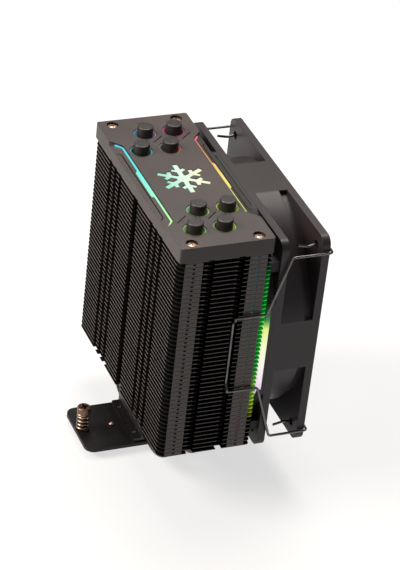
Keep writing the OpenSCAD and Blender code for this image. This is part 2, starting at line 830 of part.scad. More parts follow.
module top_cover() {
    color("#2c292b") difference() {
        union() {
            difference() {
                union() {
                    intersection() {
                        translate([0, 0, stack_top]) linear_extrude(cover_h) cover_plan(0);
                        cover_section();
                    }
                    translate([0, 0, stack_top]) linear_extrude(cover_h) intersection() {
                        cover_plan(0);
                        polygon(panel_outline(0));
                    }
                }
                translate([0, 0, stack_top - 1]) linear_extrude(ledge_under - stack_top + 1)
                    cover_plan(cover_wall);
                translate([0, 0, stack_top]) linear_extrude(cover_h - panel_t) intersection() {
                    cover_plan(cover_wall);
                    polygon(panel_outline(cover_wall));
                }
            }
            // Seats of the four screws
            four_ways() translate([cover_screw_x, cover_screw_y, cover_top - recess_depth - recess_floor])
                cylinder(r = recess_r + 1, h = recess_depth + recess_floor - 0.5);
        }
        // Outside the outline nothing of the seats is left
        difference() {
            translate([-fin_w, -fin_d, stack_top]) cube([2 * fin_w, 2 * fin_d, cover_h + 1]);
            translate([0, 0, stack_top - 1]) linear_extrude(cover_h + 3) cover_plan(0);
        }
        four_ways() translate([cover_screw_x, cover_screw_y, cover_top - recess_depth]) {
            cylinder(r = recess_r, h = recess_depth + 1);
            translate([0, 0, -recess_floor - 1]) cylinder(r = cover_screw_r + 0.2, h = 4);
        }
        translate([0, 0, ledge_under - 1]) {
            for (m = [0, 1]) mirror([0, m, 0]) linear_extrude(cover_h) strip_shape(strip_fit - eps);
            at_legs() cylinder(r = ring_d / 2 + strip_fit, h = cover_h);
            linear_extrude(cover_h) snowflake(strip_fit);
        }
        cover_lines();
        cover_diagonals();
    }
}

module cover_screws() {
    z = cover_top - recess_depth;
    r = cover_screw_d / 2;
    h = 1.3;
    color("#cdb59c") four_ways() translate([cover_screw_x, cover_screw_y, z]) difference() {
        union() {
            // Pan head: a slice of a ball over a short rim
            cylinder(r = r, h = 0.5);
            intersection() {
                cylinder(r = r, h = h);
                translate([0, 0, h - 1.6 * r]) sphere(r = 1.6 * r);
            }
            translate([0, 0, -recess_floor - 2.6]) cylinder(r = cover_screw_r, h = recess_floor + 2.7);
        }
        translate([0, 0, h]) cross_recess(0.62 * cover_screw_d, 0.9);
    }
}

// ---------------------------------------------------------------- fan

// Screw holes of the fan, seen along its axis
module at_fan_holes() {
    for (x = [-1, 1], y = [-1, 1]) translate([x * hole_xz, y * hole_xz]) children();
}

module fan_frame() {
    s = fan_size;
    duct_r = duct_d / 2;
    color("#1d1b1d") on_fan() {
        difference() {
            intersection() {
                linear_extrude(fan_depth) round_rect(s, s, fan_corner_r);
                union() {
                    for (z = [0, fan_depth - flange_t])
                        translate([-s / 2, -s / 2, z]) cube([s, s, flange_t]);
                    cylinder(r = shroud_step_r, h = fan_depth, $fn = 96);
                    cylinder(r = shroud_d / 2, h = shroud_band_top, $fn = 96);
                    // Flat panels in the middle of each side
                    for (a = [0 : 90 : 270]) rotate(a)
                        translate([duct_r, -panel_half, 0]) cube([s / 2 - duct_r, 2 * panel_half, fan_depth]);
                }
            }
            translate([0, 0, -1]) cylinder(r = duct_r, h = fan_depth + 2, $fn = 96);
            // Flared air inlet
            translate([0, 0, fan_depth - 2.5]) cylinder(r1 = duct_r, r2 = duct_r + 1.6, h = 2.6, $fn = 96);
            translate([0, 0, -1]) at_fan_holes() cylinder(d = hole_d, h = fan_depth + 2);
        }
        // Motor plate, its struts and the bearing tube
        difference() {
            union() {
                cylinder(r = plate_r, h = plate_t);
                for (k = [0 : strut_count - 1]) rotate(45 + 360 / strut_count * k)
                    translate([plate_r - 1, -strut_w / 2, 0]) cube([duct_r - plate_r + 1.3, strut_w, strut_t]);
                cylinder(r = tube_r, h = tube_top);
            }
            translate([0, 0, plate_t]) cylinder(r = bush_d / 2 + seat_gap, h = tube_top);
        }
    }
}

// Blade section at u, 0 at the hub and 1 at the tip, as a loop of points: out along the
// inlet side and back along the outlet side. Its pitch flattens and it leans forward as u grows.
blade_stations = 7;
function blade_point(u, s, face) =
    let (
        r = blade_root_r + u * (blade_tip_r - blade_root_r),
        span = blade_span + 3 * sin(180 * u),
        lean = -15 * pow(u, 1.5),
        a = lean + span * (s - 0.5),
        height = (blade_h - 2) + 2 * u,
        camber = 1.5 * sin(180 * s),
        edge = 1 - 0.72 * pow(2 * s - 1, 2),
        z = blade_mid_z + height * (s - 0.5) + camber + face * blade_t / 2 * edge
    )
    [r * cos(a), r * sin(a), z];

function blade_loop(u) = concat(
    [for (k = [0 : blade_stations - 1]) blade_point(u, k / (blade_stations - 1), 1)],
    [for (k = [blade_stations - 1 : -1 : 0]) blade_point(u, k / (blade_stations - 1), -1)]
);

module blade() {
    steps = 6;
    m = 2 * blade_stations;
    points = [for (i = [0 : steps]) each blade_loop(i / steps)];
    walls = [
        for (i = [0 : steps - 1], k = [0 : m - 1])
            let (a = i * m + k, b = i * m + (k + 1) % m)
                each [[a, b, a + m], [b, b + m, a + m]]
    ];
    last = steps * m;
    ends = [
        for (k = [0 : blade_stations - 2]) let (j = m - 1 - k) each [
            [k, j, k + 1], [k + 1, j, j - 1],
            [last + k, last + k + 1, last + j], [last + k + 1, last + j - 1, last + j]
        ]
    ];
    polyhedron(points = points, faces = concat(walls, ends), convexity = 6);
}

module fan_impeller() {
    edge = 2;
    color("#201e21") on_fan() {
        difference() {
            union() {
                translate([0, 0, hub_z]) rotate_extrude($fn = 96) {
                    square([hub_r, hub_top - hub_z - edge]);
                    square([hub_r - edge, hub_top - hub_z]);
                    translate([hub_r - edge, hub_top - hub_z - edge]) circle(r = edge);
                }
                for (k = [0 : blade_count - 1]) rotate(360 / blade_count * k) blade();
            }
            // Hollow of the hub, round its boss
            translate([0, 0, hub_z - 1]) linear_extrude(hub_top - hub_cap_t - hub_z + 1)
                ring(hub_r - hub_wall, hub_boss_r);
            translate([0, 0, hub_z - 1]) cylinder(r = hub_r - hub_wall, h = tube_top + 1.5 - hub_z + 1);
            cylinder(r = shaft_r + 0.02, h = hub_top - 1.2);
        }
    }
}

module rotor_yoke() {
    color("gray") on_fan() translate([0, 0, hub_z + 0.5])
        linear_extrude(hub_top - hub_cap_t - hub_z - 1) ring(yoke_r, yoke_r - yoke_t);
}

module rotor_magnet() {
    color("#3a3533") on_fan() translate([0, 0, magnet_z])
        linear_extrude(magnet_h) ring(magnet_r, magnet_r - magnet_t);
}

module fan_shaft() {
    color("silver") on_fan() difference() {
        translate([0, 0, shaft_end]) cylinder(r = shaft_r, h = hub_top - 1.3 - shaft_end);
        translate([0, 0, retainer_z - 0.05]) linear_extrude(retainer_t + 0.1)
            ring(shaft_d, shaft_r - 0.4);
    }
}

module shaft_retainer() {
    color("white") on_fan() translate([0, 0, retainer_z]) linear_extrude(retainer_t) difference() {
        ring(bush_d / 2 - 0.2, shaft_r - 0.35);
        translate([0, -shaft_d]) square([0.5, 2 * shaft_d], center = true);
    }
}

module bearing_bush() {
    color("#b5895a") on_fan() translate([0, 0, bush_z])
        linear_extrude(bush_top - bush_z) ring(bush_d / 2, shaft_r + shaft_fit);
}

// Laminated core: a ring with a T-shaped pole on each side
module stator_core() {
    color("#8b8f94") on_fan() translate([0, 0, stator_z]) linear_extrude(stator_h) difference() {
        union() {
            circle(r = stator_bore_r + core_ring);
            for (k = [0 : pole_count - 1]) rotate(360 / pole_count * k)
                translate([0, -pole_w / 2]) square([stator_r - pole_shoe / 2, pole_w]);
            intersection() {
                ring(stator_r, stator_r - pole_shoe);
                for (k = [0 : pole_count - 1]) rotate(360 / pole_count * k)
                    polygon([[0, 0], [2 * stator_r, -1.5 * stator_r], [2 * stator_r, 1.5 * stator_r]]);
            }
        }
        circle(r = stator_bore_r);
    }
}

// One winding round each pole
module stator_windings() {
    w = pole_w + 2 * coil_gap;
    h = stator_h + 2 * coil_gap;
    inner = stator_bore_r + core_ring + 0.5;
    outer = sqrt(pow(stator_r - pole_shoe - 0.3, 2) - pow(w / 2 + coil_t, 2));
    color("#b4632f") on_fan() for (k = [0 : pole_count - 1]) rotate(360 / pole_count * k)
        translate([inner, 0, stator_z + stator_h / 2]) rotate([90, 0, 90]) linear_extrude(outer - inner)
            difference() {
                round_rect(w + 2 * coil_t, h + 2 * coil_t, 1.2);
                square([w, h], center = true);
            }
}

module fan_board() {
    color("#1f5a36") on_fan() translate([0, 0, plate_t]) linear_extrude(1.2)
        ring(fan_board_r, tube_r + 0.1);
}

// Soft pads in the corners, between the fan and the fins
module fan_pads() {
    pad = [6, 5];
    x = fan_size / 2 - 4.5;
    y = hole_xz - 6;
    color("#151415") on_fan() for (i = [-1, 1], j = [-1, 1])
        translate([i * x - pad[0] / 2, j * y - pad[1] / 2, -fan_gap]) cube([pad[0], pad[1], fan_gap]);
}

// ---------------------------------------------------------------- light ring behind the fan

// A flat ring cut off at the fan's sides
module halo_plan(r_out, r_in, side) {
    intersection() {
        ring(r_out, r_in);
        square(side, center = true);
    }
}

module halo_housing() {
    color("#141314") on_fan() translate([0, 0, -halo_base_t]) difference() {
        union() {
            linear_extrude(halo_base_t - seat_gap)
                halo_plan(halo_rim_r + halo_rim, halo_bore / 2 - 0.1, fan_size);
            // Rim round the ring, open where the fan's flat sides cut the ring
            translate([0, 0, -halo_light_t]) linear_extrude(halo_light_t + eps)
                halo_plan(halo_rim_r + halo_rim, halo_rim_r, fan_size);
        }
        translate([0, 0, -eps]) linear_extrude(0.9)
            ring(halo_strip_r + halo_strip_t + 0.1, halo_strip_r - 0.1);
    }
}

module halo_light() {
    color("#f2f7c8") on_fan() translate([0, 0, -halo_base_t - halo_light_t]) difference() {
        linear_extrude(halo_light_t - seat_gap) halo_plan(halo_d / 2, halo_bore / 2, fan_size - 0.4);
        translate([0, 0, halo_light_t - 1]) linear_extrude(1)
            ring(halo_strip_r + halo_strip_t + 0.4, halo_strip_r - 0.6);
    }
}

module halo_led_strip() {
    color("#e8e6df") on_fan() translate([0, 0, -halo_base_t]) linear_extrude(0.8)
        ring(halo_strip_r + halo_strip_t, halo_strip_r);
}

module halo_leds() {
    color("white") on_fan() for (k = [0 : halo_led_count - 1]) rotate(360 / halo_led_count * (k + 0.5))
        translate([halo_strip_r - 0.3, -1.2, -halo_base_t - 0.8]) cube([halo_strip_t + 0.4, 2.4, 0.75]);
}

// ---------------------------------------------------------------- fan clips

// Corners of the near clip's upper half, from the tail in the fan's corner to the groove
clip_groove_x = fin_w / 2 - 0.35 - wire_r;
clip_half = [
    [hole_xz, fan_face_y - 13.7, hole_xz + 0.6],
    [hole_xz, fan_face_y - 8.2, hole_xz - 0.6],
    [hole_xz, fan_face_y - flange_t - 0.6, hole_xz],
    [hole_xz, clip_out_y, hole_xz],
    [clip_x, clip_out_y, hole_xz],
    [clip_x, fan_y + 5.3, hole_xz],
    [clip_x, fin_d / 2 - 0.2, clip_waist],
    [clip_x, groove_y, clip_waist],
    [clip_x, groove_y, clip_waist - 1],
    [clip_groove_x, groove_y, clip_waist - 4]
];
clip_path = rounded_path(
    concat(clip_half, [for (k = [len(clip_half) - 1 : -1 : 0])
        [clip_half[k][0], clip_half[k][1], -clip_half[k][2]]]),
    wire_bend_r
);

module fan_clip() {
    translate([0, 0, fan_z]) tube_along(clip_path, wire_r, 8, [1, 0, 0]);
}

module fan_clip_near() { color("silver") fan_clip(); }
module fan_clip_far() { color("silver") mirror([1, 0, 0]) fan_clip(); }

base_plate();
base_block();
heat_pipe_1();
heat_pipe_2();
heat_pipe_3();
heat_pipe_4();
fin_stack();
pipe_caps();
cover_tray();
cover_led_board();
cover_leds();
light_guide();
top_cover();
cover_screws();
mounting_bar();
bar_screws();
spring_screw_rear();
spring_screw_front();
screw_spring_rear();
screw_spring_front();
e_clip_rear();
e_clip_front();
fan_frame();
fan_impeller();
rotor_yoke();
rotor_magnet();
fan_shaft();
shaft_retainer();
bearing_bush();
stator_core();
stator_windings();
fan_board();
fan_pads();
halo_housing();
halo_light();
halo_led_strip();
halo_leds();
fan_clip_near();
fan_clip_far();
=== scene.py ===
"""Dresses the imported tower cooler: plate fins on four heat pipes, a lit cover, one fan.

The row frame is in metres here and in millimetres in the dataclass fields. Every surface is
worked out with numpy from a formula, which its function's docstring gives in words.
"""

from __future__ import annotations

import logging
import math
from dataclasses import dataclass, field
from enum import Enum
from typing import Any, ClassVar

import bpy
import numpy as np
from mathutils import Matrix, Vector


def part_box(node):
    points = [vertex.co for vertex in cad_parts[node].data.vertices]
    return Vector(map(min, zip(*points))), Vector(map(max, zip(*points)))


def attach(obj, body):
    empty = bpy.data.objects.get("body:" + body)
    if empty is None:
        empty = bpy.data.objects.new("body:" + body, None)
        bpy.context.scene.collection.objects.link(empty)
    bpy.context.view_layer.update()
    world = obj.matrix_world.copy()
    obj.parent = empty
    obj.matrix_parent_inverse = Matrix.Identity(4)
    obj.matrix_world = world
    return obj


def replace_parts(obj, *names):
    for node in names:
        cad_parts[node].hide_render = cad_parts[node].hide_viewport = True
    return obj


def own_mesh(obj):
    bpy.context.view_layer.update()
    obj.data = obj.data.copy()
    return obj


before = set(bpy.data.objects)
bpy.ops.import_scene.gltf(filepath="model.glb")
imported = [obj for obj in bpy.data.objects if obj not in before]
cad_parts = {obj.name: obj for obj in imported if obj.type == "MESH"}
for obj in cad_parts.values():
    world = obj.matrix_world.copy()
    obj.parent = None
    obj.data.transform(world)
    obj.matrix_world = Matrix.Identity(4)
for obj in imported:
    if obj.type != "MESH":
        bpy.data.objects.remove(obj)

LOG = logging.getLogger("tower_cooler")
MM = 0.001
HEATSINK = "heatsink"
WHITE = "#ffffff"
NOISE = (0.3, 0.7)  # nearly all of a noise texture's values lie between these

Tree = bpy.types.NodeTree
Node = bpy.types.Node
Stops = tuple[tuple[float, str], ...]


class Axis(Enum):
    """A main direction of the row frame, by its number."""

    X = 0
    Y = 1
    Z = 2


# ---------------------------------------------------------------- small helpers


def linear(hex_colour: str) -> tuple[float, float, float, float]:
    """Turns an sRGB hex colour into linear RGBA.

    Args:
        hex_colour: colour such as "#2b2a2c".

    Returns:
        Red, green, blue and an alpha of 1.
    """
    raw = [int(hex_colour[i : i + 2], 16) / 255 for i in (1, 3, 5)]
    red, green, blue = (c / 12.92 if c <= 0.04045 else ((c + 0.055) / 1.055) ** 2.4 for c in raw)
    return red, green, blue, 1.0


def add(tree: Tree, kind: str, *values: Any, links: dict[str, Any] | None = None,
        stops: Stops = (), **settings: Any) -> Node:
    """Adds one node to a shader tree, with its settings and links.

    A value is a number, a hex colour, an output socket, or a node, whose first output in use
    is taken.

    Args:
        tree: the tree that gets the node.
        kind: the node's type name after "ShaderNode".
        values: what the node's sockets in use get, in their order.
        links: what further sockets get, by their names.
        stops: place and hex colour of each stop of a colour ramp.
        settings: the node's own properties.

    Returns:
        The new node.
    """
    node = tree.nodes.new("ShaderNode" + kind)
    for name, value in settings.items():
        setattr(node, name, value)
    in_use = [socket for socket in node.inputs if socket.enabled]
    named = [(node.inputs[name], value) for name, value in (links or {}).items()]
    for socket, value in [*zip(in_use, values), *named]:
        if isinstance(value, str):
            value = linear(value)
        elif isinstance(value, bpy.types.Node):
            value = next(output for output in value.outputs if output.enabled)
        if isinstance(value, bpy.types.NodeSocket):
            tree.links.new(value, socket)
        else:
            socket.default_value = value
    if stops:
        cells = node.color_ramp.elements
        while len(cells) < len(stops):
            cells.new(0.5)
        for cell, (place, colour) in zip(cells, stops):
            cell.position = place
            cell.color = linear(colour)
    return node


def product(tree: Tree, *parts: Any) -> Any:
    """Multiplies numbers, sockets or nodes, two at a time.

    Args:
        tree: the tree that gets the nodes.
        parts: what is multiplied.

    Returns:
        The last product's node.
    """
    result = parts[0]
    for part in parts[1:]:
        result = add(tree, "Math", result, part, operation="MULTIPLY")
    return result


def spread(tree: Tree, place: Any) -> tuple[Any, Any, Any, Node, Node]:
    """Splits a place into x, y and z, and the distances |x| and |y| from the middle planes.

    Args:
        tree: the tree that gets the nodes.
        place: the place's socket.

    Returns:
        x, y, z, |x| and |y|.
    """
    x, y, z = add(tree, "SeparateXYZ", place).outputs
    out = [add(tree, "Math", axis, operation="ABSOLUTE") for axis in (x, y)]
    return x, y, z, out[0], out[1]


def relief(tree: Tree, height: Any, strength: float, depth_mm: float, edge_mm: float = 0.0,
           samples: int = 3) -> Node:
    """Bumps a surface by a height, over softly rounded edges where it has a radius for them.

    Args:
        tree: the tree that gets the nodes.
        height: the pattern that rises, from 0 to 1.
        strength: share of the bump that shows.
        depth_mm: how high the pattern stands.
        edge_mm: the edges' radius, or 0 for sharp ones.
        samples: rays for the rounding.

    Returns:
        The node of the new normal.
    """
    links = {"Strength": strength, "Distance": depth_mm * MM, "Height": height}
    if edge_mm:
        links["Normal"] = add(tree, "Bevel", edge_mm * MM, samples=samples)
    return add(tree, "Bump", links=links)


def low_end(node: str, axis: Axis) -> float:
    """Gives the lowest place of a CAD node along an axis, in millimetres."""
    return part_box(node)[0][axis.value] / MM


def high_end(node: str, axis: Axis) -> float:
    """Gives the highest place of a CAD node along an axis, in millimetres."""
    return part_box(node)[1][axis.value] / MM


def middle(node: str, axis: Axis) -> float:
    """Gives the middle of a CAD node along an axis, in millimetres."""
    return (low_end(node, axis) + high_end(node, axis)) / 2


def per_mm(size_mm: float) -> float:
    """Gives a texture scale, in repeats a metre, for a feature of that many millimetres."""
    return 1000.0 / size_mm


# ---------------------------------------------------------------- finishes


@dataclass(frozen=True)
class Finish:
    """What every finish shares: a name, a base colour and the way to its material."""

    name: str
    colour: str

    def sockets(self, tree: Tree, place: Any) -> dict[str, Any]:
        """Works out what the principled shader's sockets get; each finish has its own way.

        Args:
            tree: the material's tree.
            place: the Object coordinates' socket.

        Returns:
            What the shader's sockets get, by their names.
        """
        raise NotImplementedError

    def shader(self, tree: Tree, place: Any) -> Node:
        """Adds the principled shader with the finish's sockets."""
        return add(tree, "BsdfPrincipled", links=self.sockets(tree, place))

    def build(self) -> bpy.types.Material:
        """Makes the material.

        Returns:
            The new material, named for the finish.
        """
        material = bpy.data.materials.new(self.name)
        material.use_nodes = True
        tree = material.node_tree
        tree.nodes.clear()
        place = add(tree, "TexCoord").outputs["Object"]
        add(tree, "OutputMaterial", self.shader(tree, place))
        return material


@dataclass(frozen=True)
class UnevenFinish(Finish):
    """A finish whose roughness wanders round its middle value."""

    roughness: float = 0.5
    uneven: tuple[float, float] = (-0.05, 0.08)

    def sheen(self) -> tuple[float, float]:
        """Gives the lowest and the highest roughness."""
        return self.roughness + self.uneven[0], self.roughness + self.uneven[1]


@dataclass(frozen=True)
class MouldedPlastic(UnevenFinish):
    """Injection moulded ABS or PBT: a spark-eroded grain gives a soft, broken sheen."""

    second: str = "#1c1b1c"
    uneven: tuple[float, float] = (-0.05, 0.07)
    flow: tuple[float, float] = (0.35, 0.65)
    grain_mm: float = 0.45
    grain_depth_mm: float = 0.012
    edge_mm: float = 0.25
    flow_mm: float = 28.0
    level: float = 0.5
    ior: float = 1.5
    bump: float = 0.5
    edge_rays: int = 4

    def shade(self, tree: Tree, place: Any, colour: Node) -> tuple[Node, Any]:
        """Gives colour and shine as they are; a finish with marks in it changes them here."""
        return colour, self.level

    def sockets(self, tree: Tree, place: Any) -> dict[str, Any]:
        """Mixes two near colours along the flow marks and bumps the grain over rounded edges.

        Args:
            tree: the material's tree.
            place: the Object coordinates' socket.

        Returns:
            What the shader's sockets get, by their names.
        """
        marks = add(tree, "TexNoise", place, per_mm(self.flow_mm), 3.0)
        grain = add(tree, "TexNoise", place, per_mm(self.grain_mm), 2.0)
        tone = add(tree, "MapRange", marks, *self.flow)
        colour = add(tree, "Mix", tone, self.colour, self.second, data_type="RGBA")
        rough = add(tree, "MapRange", grain, *NOISE, *self.sheen())
        skin, level = self.shade(tree, place, colour)
        return {"Base Color": skin, "Roughness": rough, "IOR": self.ior, "Specular IOR Level": level,
                "Normal": relief(tree, grain, self.bump, self.grain_depth_mm, self.edge_mm, self.edge_rays)}


@dataclass(frozen=True)
class EngravedPlastic(MouldedPlastic):
    """The cover's plastic, with painted shade in the lines engraved into its panel and its side ledges."""

    line_shade_colour: str = "#0b0a0a"
    line_shade_level: float = 0.02
    above_window_mm: float = 0.3
    ledge_in_mm: float = 18.5
    ledge_out_mm: float = 24.0
    ledge_step_mm: float = 0.7
    ledge_drop_mm: float = 2.1
    skin_mm: tuple[float, float] = (0.03, 0.09)
    depth_mm: float = 0.55
    rim_mm: float = 0.4
    rim_blur_mm: float = 0.1
    diagonals_mm: tuple[tuple[float, float], ...] = ((-37.8, 0.5), (-38.3, 15.8), (35.0, -14.3), (34.7, 1.2))
    diagonal_deg: float = 131.0
    diagonal_size_mm: tuple[float, float] = (8.4, 0.6)
    diagonal_depth_mm: tuple[float, float] = (0.1, 0.15)
    blur_mm: float = 0.04

    def below(self, tree: Tree, depth: Node) -> Node:
        """Gives 1 where a place lies between a hair and the line's depth under the skin.

        Args:
            tree: the material's tree.
            depth: how deep the place lies, in metres.

        Returns:
            The mask's node.
        """
        hair, full = self.skin_mm
        under = add(tree, "MapRange", depth, hair * MM, full * MM)
        over = add(tree, "MapRange", depth, self.depth_mm * MM, (self.depth_mm + self.blur_mm) * MM, 1.0, 0.0)
        return product(tree, under, over)

    def diagonals(self, tree: Tree, place: Any, panel: Node) -> Node:
        """Gives 1 on the short diagonals beside the caps, which get painted shade: inside a turned box round each
        middle.

        Args:
            tree: the material's tree.
            place: the Object coordinates' socket.
            panel: how deep the place lies under the panel, in metres.

        Returns:
            The mask's node.
        """
        shallow, deep = self.diagonal_depth_mm
        on_skin = add(tree, "MapRange", panel, shallow * MM, deep * MM, 1.0, 0.0)
        turn = (0.0, 0.0, math.radians(self.diagonal_deg))
        hit: Any = 0.0
        for x, y in self.diagonals_mm:
            local = add(tree, "Mapping", place, (x * MM, y * MM, 0.0), turn, vector_type="TEXTURE")
            sides = [
                add(tree, "MapRange", out, (size / 2 - self.blur_mm) * MM, (size / 2 + self.blur_mm) * MM,
                    1.0, 0.0)
                for out, size in zip(spread(tree, local)[3:], self.diagonal_size_mm)
            ]
            hit = add(tree, "Math", hit, product(tree, *sides), operation="MAXIMUM")
        return product(tree, on_skin, hit)

    def shade(self, tree: Tree, place: Any, colour: Node) -> tuple[Node, Any]:
        """Paints shade into the lines: depth = skin's height minus the place's, and a ledge falls evenly outwards.

        Args:
            tree: the material's tree.
            place: the Object coordinates' socket.
            colour: the plastic's colour.

        Returns:
            The colour and the shine with the painted shade of the lines in them.
        """
        z, x_out, y_out = spread(tree, place)[2:]
        top = high_end("light_guide", Axis.Z) + self.above_window_mm
        panel = add(tree, "Math", top * MM, z, operation="SUBTRACT")
        fall = add(tree, "MapRange", y_out, self.ledge_in_mm * MM, self.ledge_out_mm * MM,
                   self.ledge_step_mm * MM, self.ledge_drop_mm * MM)
        ledge = add(tree, "Math", panel, fall, operation="SUBTRACT")
        line = add(tree, "Math", self.below(tree, panel), self.below(tree, ledge), operation="MAXIMUM")
        inside = [
            add(tree, "MapRange", out, (end - self.rim_mm) * MM, (end - self.rim_mm + self.rim_blur_mm) * MM,
                1.0, 0.0)
            for out, end in ((x_out, high_end("top_cover", Axis.X)), (y_out, self.ledge_out_mm))
        ]
        # painted shade: the engraved lines and the diagonals are darkened and lose their shine
        dark = add(tree, "Math", product(tree, line, *inside), self.diagonals(tree, place, panel),
                   operation="MAXIMUM")
        skin = add(tree, "Mix", dark, colour, self.line_shade_colour, data_type="RGBA")
        return skin, add(tree, "MapRange", dark, 0.0, 1.0, self.level, self.line_shade_level)


@dataclass(frozen=True)
class CoatedSheet(UnevenFinish):
    """Electro-coated sheet: a thin, slightly uneven dark skin, worn pale in spots."""

    worn: str = "#4a4644"
    roughness: float = 0.38
    uneven: tuple[float, float] = (-0.06, 0.08)
    peel_mm: float = 1.1
    peel_depth_mm: float = 0.02
    bump: float = 0.35
    spot_mm: float = 7.0
    spot_range: tuple[float, float] = (0.5, 0.72)
    wear: float = 0.35
    edge_mm: float = 0.08
    level: float = 0.5
    rubbed: str = "#c9a69c"
    rubbed_above_mm: float | None = None
    rubbed_blur_mm: float = 0.2

    def sockets(self, tree: Tree, place: Any) -> dict[str, Any]:
        """Lays faint orange peel over the coat, lets worn spots through and bares a rubbed top.

        Args:
            tree: the material's tree.
            place: the Object coordinates' socket.

        Returns:
            What the shader's sockets get, by their names.
        """
        peel = add(tree, "TexNoise", place, per_mm(self.peel_mm), 2.0)
        spots = add(tree, "TexNoise", place, per_mm(self.spot_mm), 4.0)
        worn = add(tree, "MapRange", spots, *self.spot_range, 0.0, self.wear)
        skin = add(tree, "Mix", worn, self.colour, self.worn, data_type="RGBA")
        rough = add(tree, "MapRange", peel, *NOISE, *self.sheen())
        sockets = {"Base Color": skin, "Roughness": rough, "Specular IOR Level": self.level,
                   "Normal": relief(tree, peel, self.bump, self.peel_depth_mm, self.edge_mm)}
        if self.rubbed_above_mm is not None:
            start = self.rubbed_above_mm
            height = add(tree, "SeparateXYZ", place).outputs["Z"]
            bare = add(tree, "MapRange", height, start * MM, (start + self.rubbed_blur_mm) * MM)
            sockets["Metallic"] = bare
            sockets["Base Color"] = add(tree, "Mix", bare, skin, self.rubbed, data_type="RGBA")
        return sockets


@dataclass(frozen=True)
class LitFins(CoatedSheet):
    """The fins' coated sheet, worn pale where it was sheared, with the ring's light painted on its edges and tab
    windows as a glow.
    """

    worn: str = "#2c2827"
    roughness: float = 0.4
    wear: float = 0.3
    edge_mm: float = 0.0
    level: float = 0.2
    sheared: str = "#5c5351"
    folded: str = "#3f3330"
    folded_level: float = 0.55
    axis_z_mm: float = 85.0
    reach_z_mm: float = 60.0
    side_x_mm: float = 60.0
    fan_y_mm: float = 24.0
    tab_y_mm: float = 16.4
    fold_mm: tuple[float, float] = (0.3, 0.2)
    cut_mm: tuple[float, float] = (0.12, 0.06)
    # painted light: glow of the ring's light on the fins' edges and tab windows
    painted_edge_glow: float = 1.15
    edge_y_mm: tuple[float, float] = (1.2, 3.4)
    edge_x_mm: tuple[float, float] = (9.0, 1.0)
    edge_z_mm: tuple[float, float] = (34.0, 46.0)
    edge_lift_mm: float = 4.0
    edge_dim: float = 0.22
    edge_bright_mm: tuple[float, float] = (0.4, 0.2)
    edge_least: float = 0.02
    painted_window_glow: float = 0.35
    window_in_mm: float = 3.0
    window_x_mm: tuple[float, float] = (2.2, 2.5)
    window_y_mm: tuple[float, float] = (0.9, 1.4)
    window_z_mm: tuple[float, float] = (46.0, 60.0)
    edge_hues: Stops = (
        (0.18, "#c4dc10"), (0.3, "#8adf12"), (0.4, "#12cf3a"),
        (0.62, "#1fdc44"), (0.7, "#0fb83a"), (0.9, "#0a9c3c"))
    window_hues: Stops = ((0.1, "#a04a8c"), (0.35, "#9c8a3c"), (0.55, "#4fa07c"), (0.9, "#3aa7b4"))

    def near(self, tree: Tree, value: Any, centre_mm: float, reach_mm: tuple[float, float]) -> Node:
        """Gives 1 where a value lies near the centre, falling to 0 further off.

        Args:
            tree: the material's tree.
            value: the value, in metres.
            centre_mm: where the mask is centred.
            reach_mm: distance up to which it is 1, and from which it is 0.

        Returns:
            The mask's node.
        """
        shift = add(tree, "Math", value, centre_mm * MM, operation="SUBTRACT")
        away = add(tree, "Math", shift, operation="ABSOLUTE")
        return add(tree, "MapRange", away, reach_mm[0] * MM, reach_mm[1] * MM, 1.0, 0.0)

    def past(self, tree: Tree, value: Any, end_mm: float, before_mm: tuple[float, float],
             result: tuple[Any, Any] = (0.0, 1.0)) -> Node:
        """Goes from one result to the other just before the end that a value can reach.

        Args:
            tree: the material's tree.
            value: the value, in metres.
            end_mm: the highest value.
            before_mm: how far before the end the change starts and stops.
            result: what it gives before and after.

        Returns:
            The result's node.
        """
        first, last = before_mm
        return add(tree, "MapRange", value, (end_mm - first) * MM, (end_mm - last) * MM, *result)

    def sockets(self, tree: Tree, place: Any) -> dict[str, Any]:
        """Tints folds and cuts over the coat and paints the ring's light on as a glow, which fades with the
        distance from the ring.

        Args:
            tree: the material's tree.
            place: the Object coordinates' socket.

        Returns:
            What the shader's sockets get, by their names.
        """
        sockets = super().sockets(tree, place)
        _, y, z, x_out, y_out = spread(tree, place)
        side, cut, axis, reach = self.side_x_mm, self.fan_y_mm, self.axis_z_mm, self.reach_z_mm
        for mask, tint in ((self.past(tree, x_out, side, self.fold_mm), self.folded),
                           (self.past(tree, y_out, cut, self.cut_mm), self.sheared)):
            sockets["Base Color"] = add(tree, "Mix", mask, sockets["Base Color"], tint, data_type="RGBA")
        height = add(tree, "MapRange", z, (axis - reach) * MM, (axis + reach) * MM)
        hues = [add(tree, "ValToRGB", height, stops=run) for run in (self.window_hues, self.edge_hues)]
        edge = product(
            tree,
            self.near(tree, y, cut, self.edge_y_mm),
            self.past(tree, x_out, side, self.edge_x_mm),
            self.past(tree, x_out, side, self.edge_bright_mm, (self.edge_dim, 1.0)),
            self.near(tree, z, axis + self.edge_lift_mm, self.edge_z_mm),
        )
        window = product(
            tree,
            self.near(tree, y, self.tab_y_mm, self.window_y_mm),
            self.near(tree, x_out, side - self.window_in_mm, self.window_x_mm),
            self.near(tree, z, axis, self.window_z_mm),
        )
        # painted light: the fins are no lamp; this emission paints the ring's light on them
        on_edge = add(tree, "Math", edge, self.edge_least, operation="GREATER_THAN")
        glow = add(tree, "Math", product(tree, edge, self.painted_edge_glow), product(tree, window, self.painted_window_glow),
                   operation="MAXIMUM")
        return sockets | {
            "Emission Color": add(tree, "Mix", on_edge, *hues, data_type="RGBA"),
            "Emission Strength": glow,
            "Specular IOR Level": self.past(tree, x_out, side, self.fold_mm, (self.level, self.folded_level)),
        }


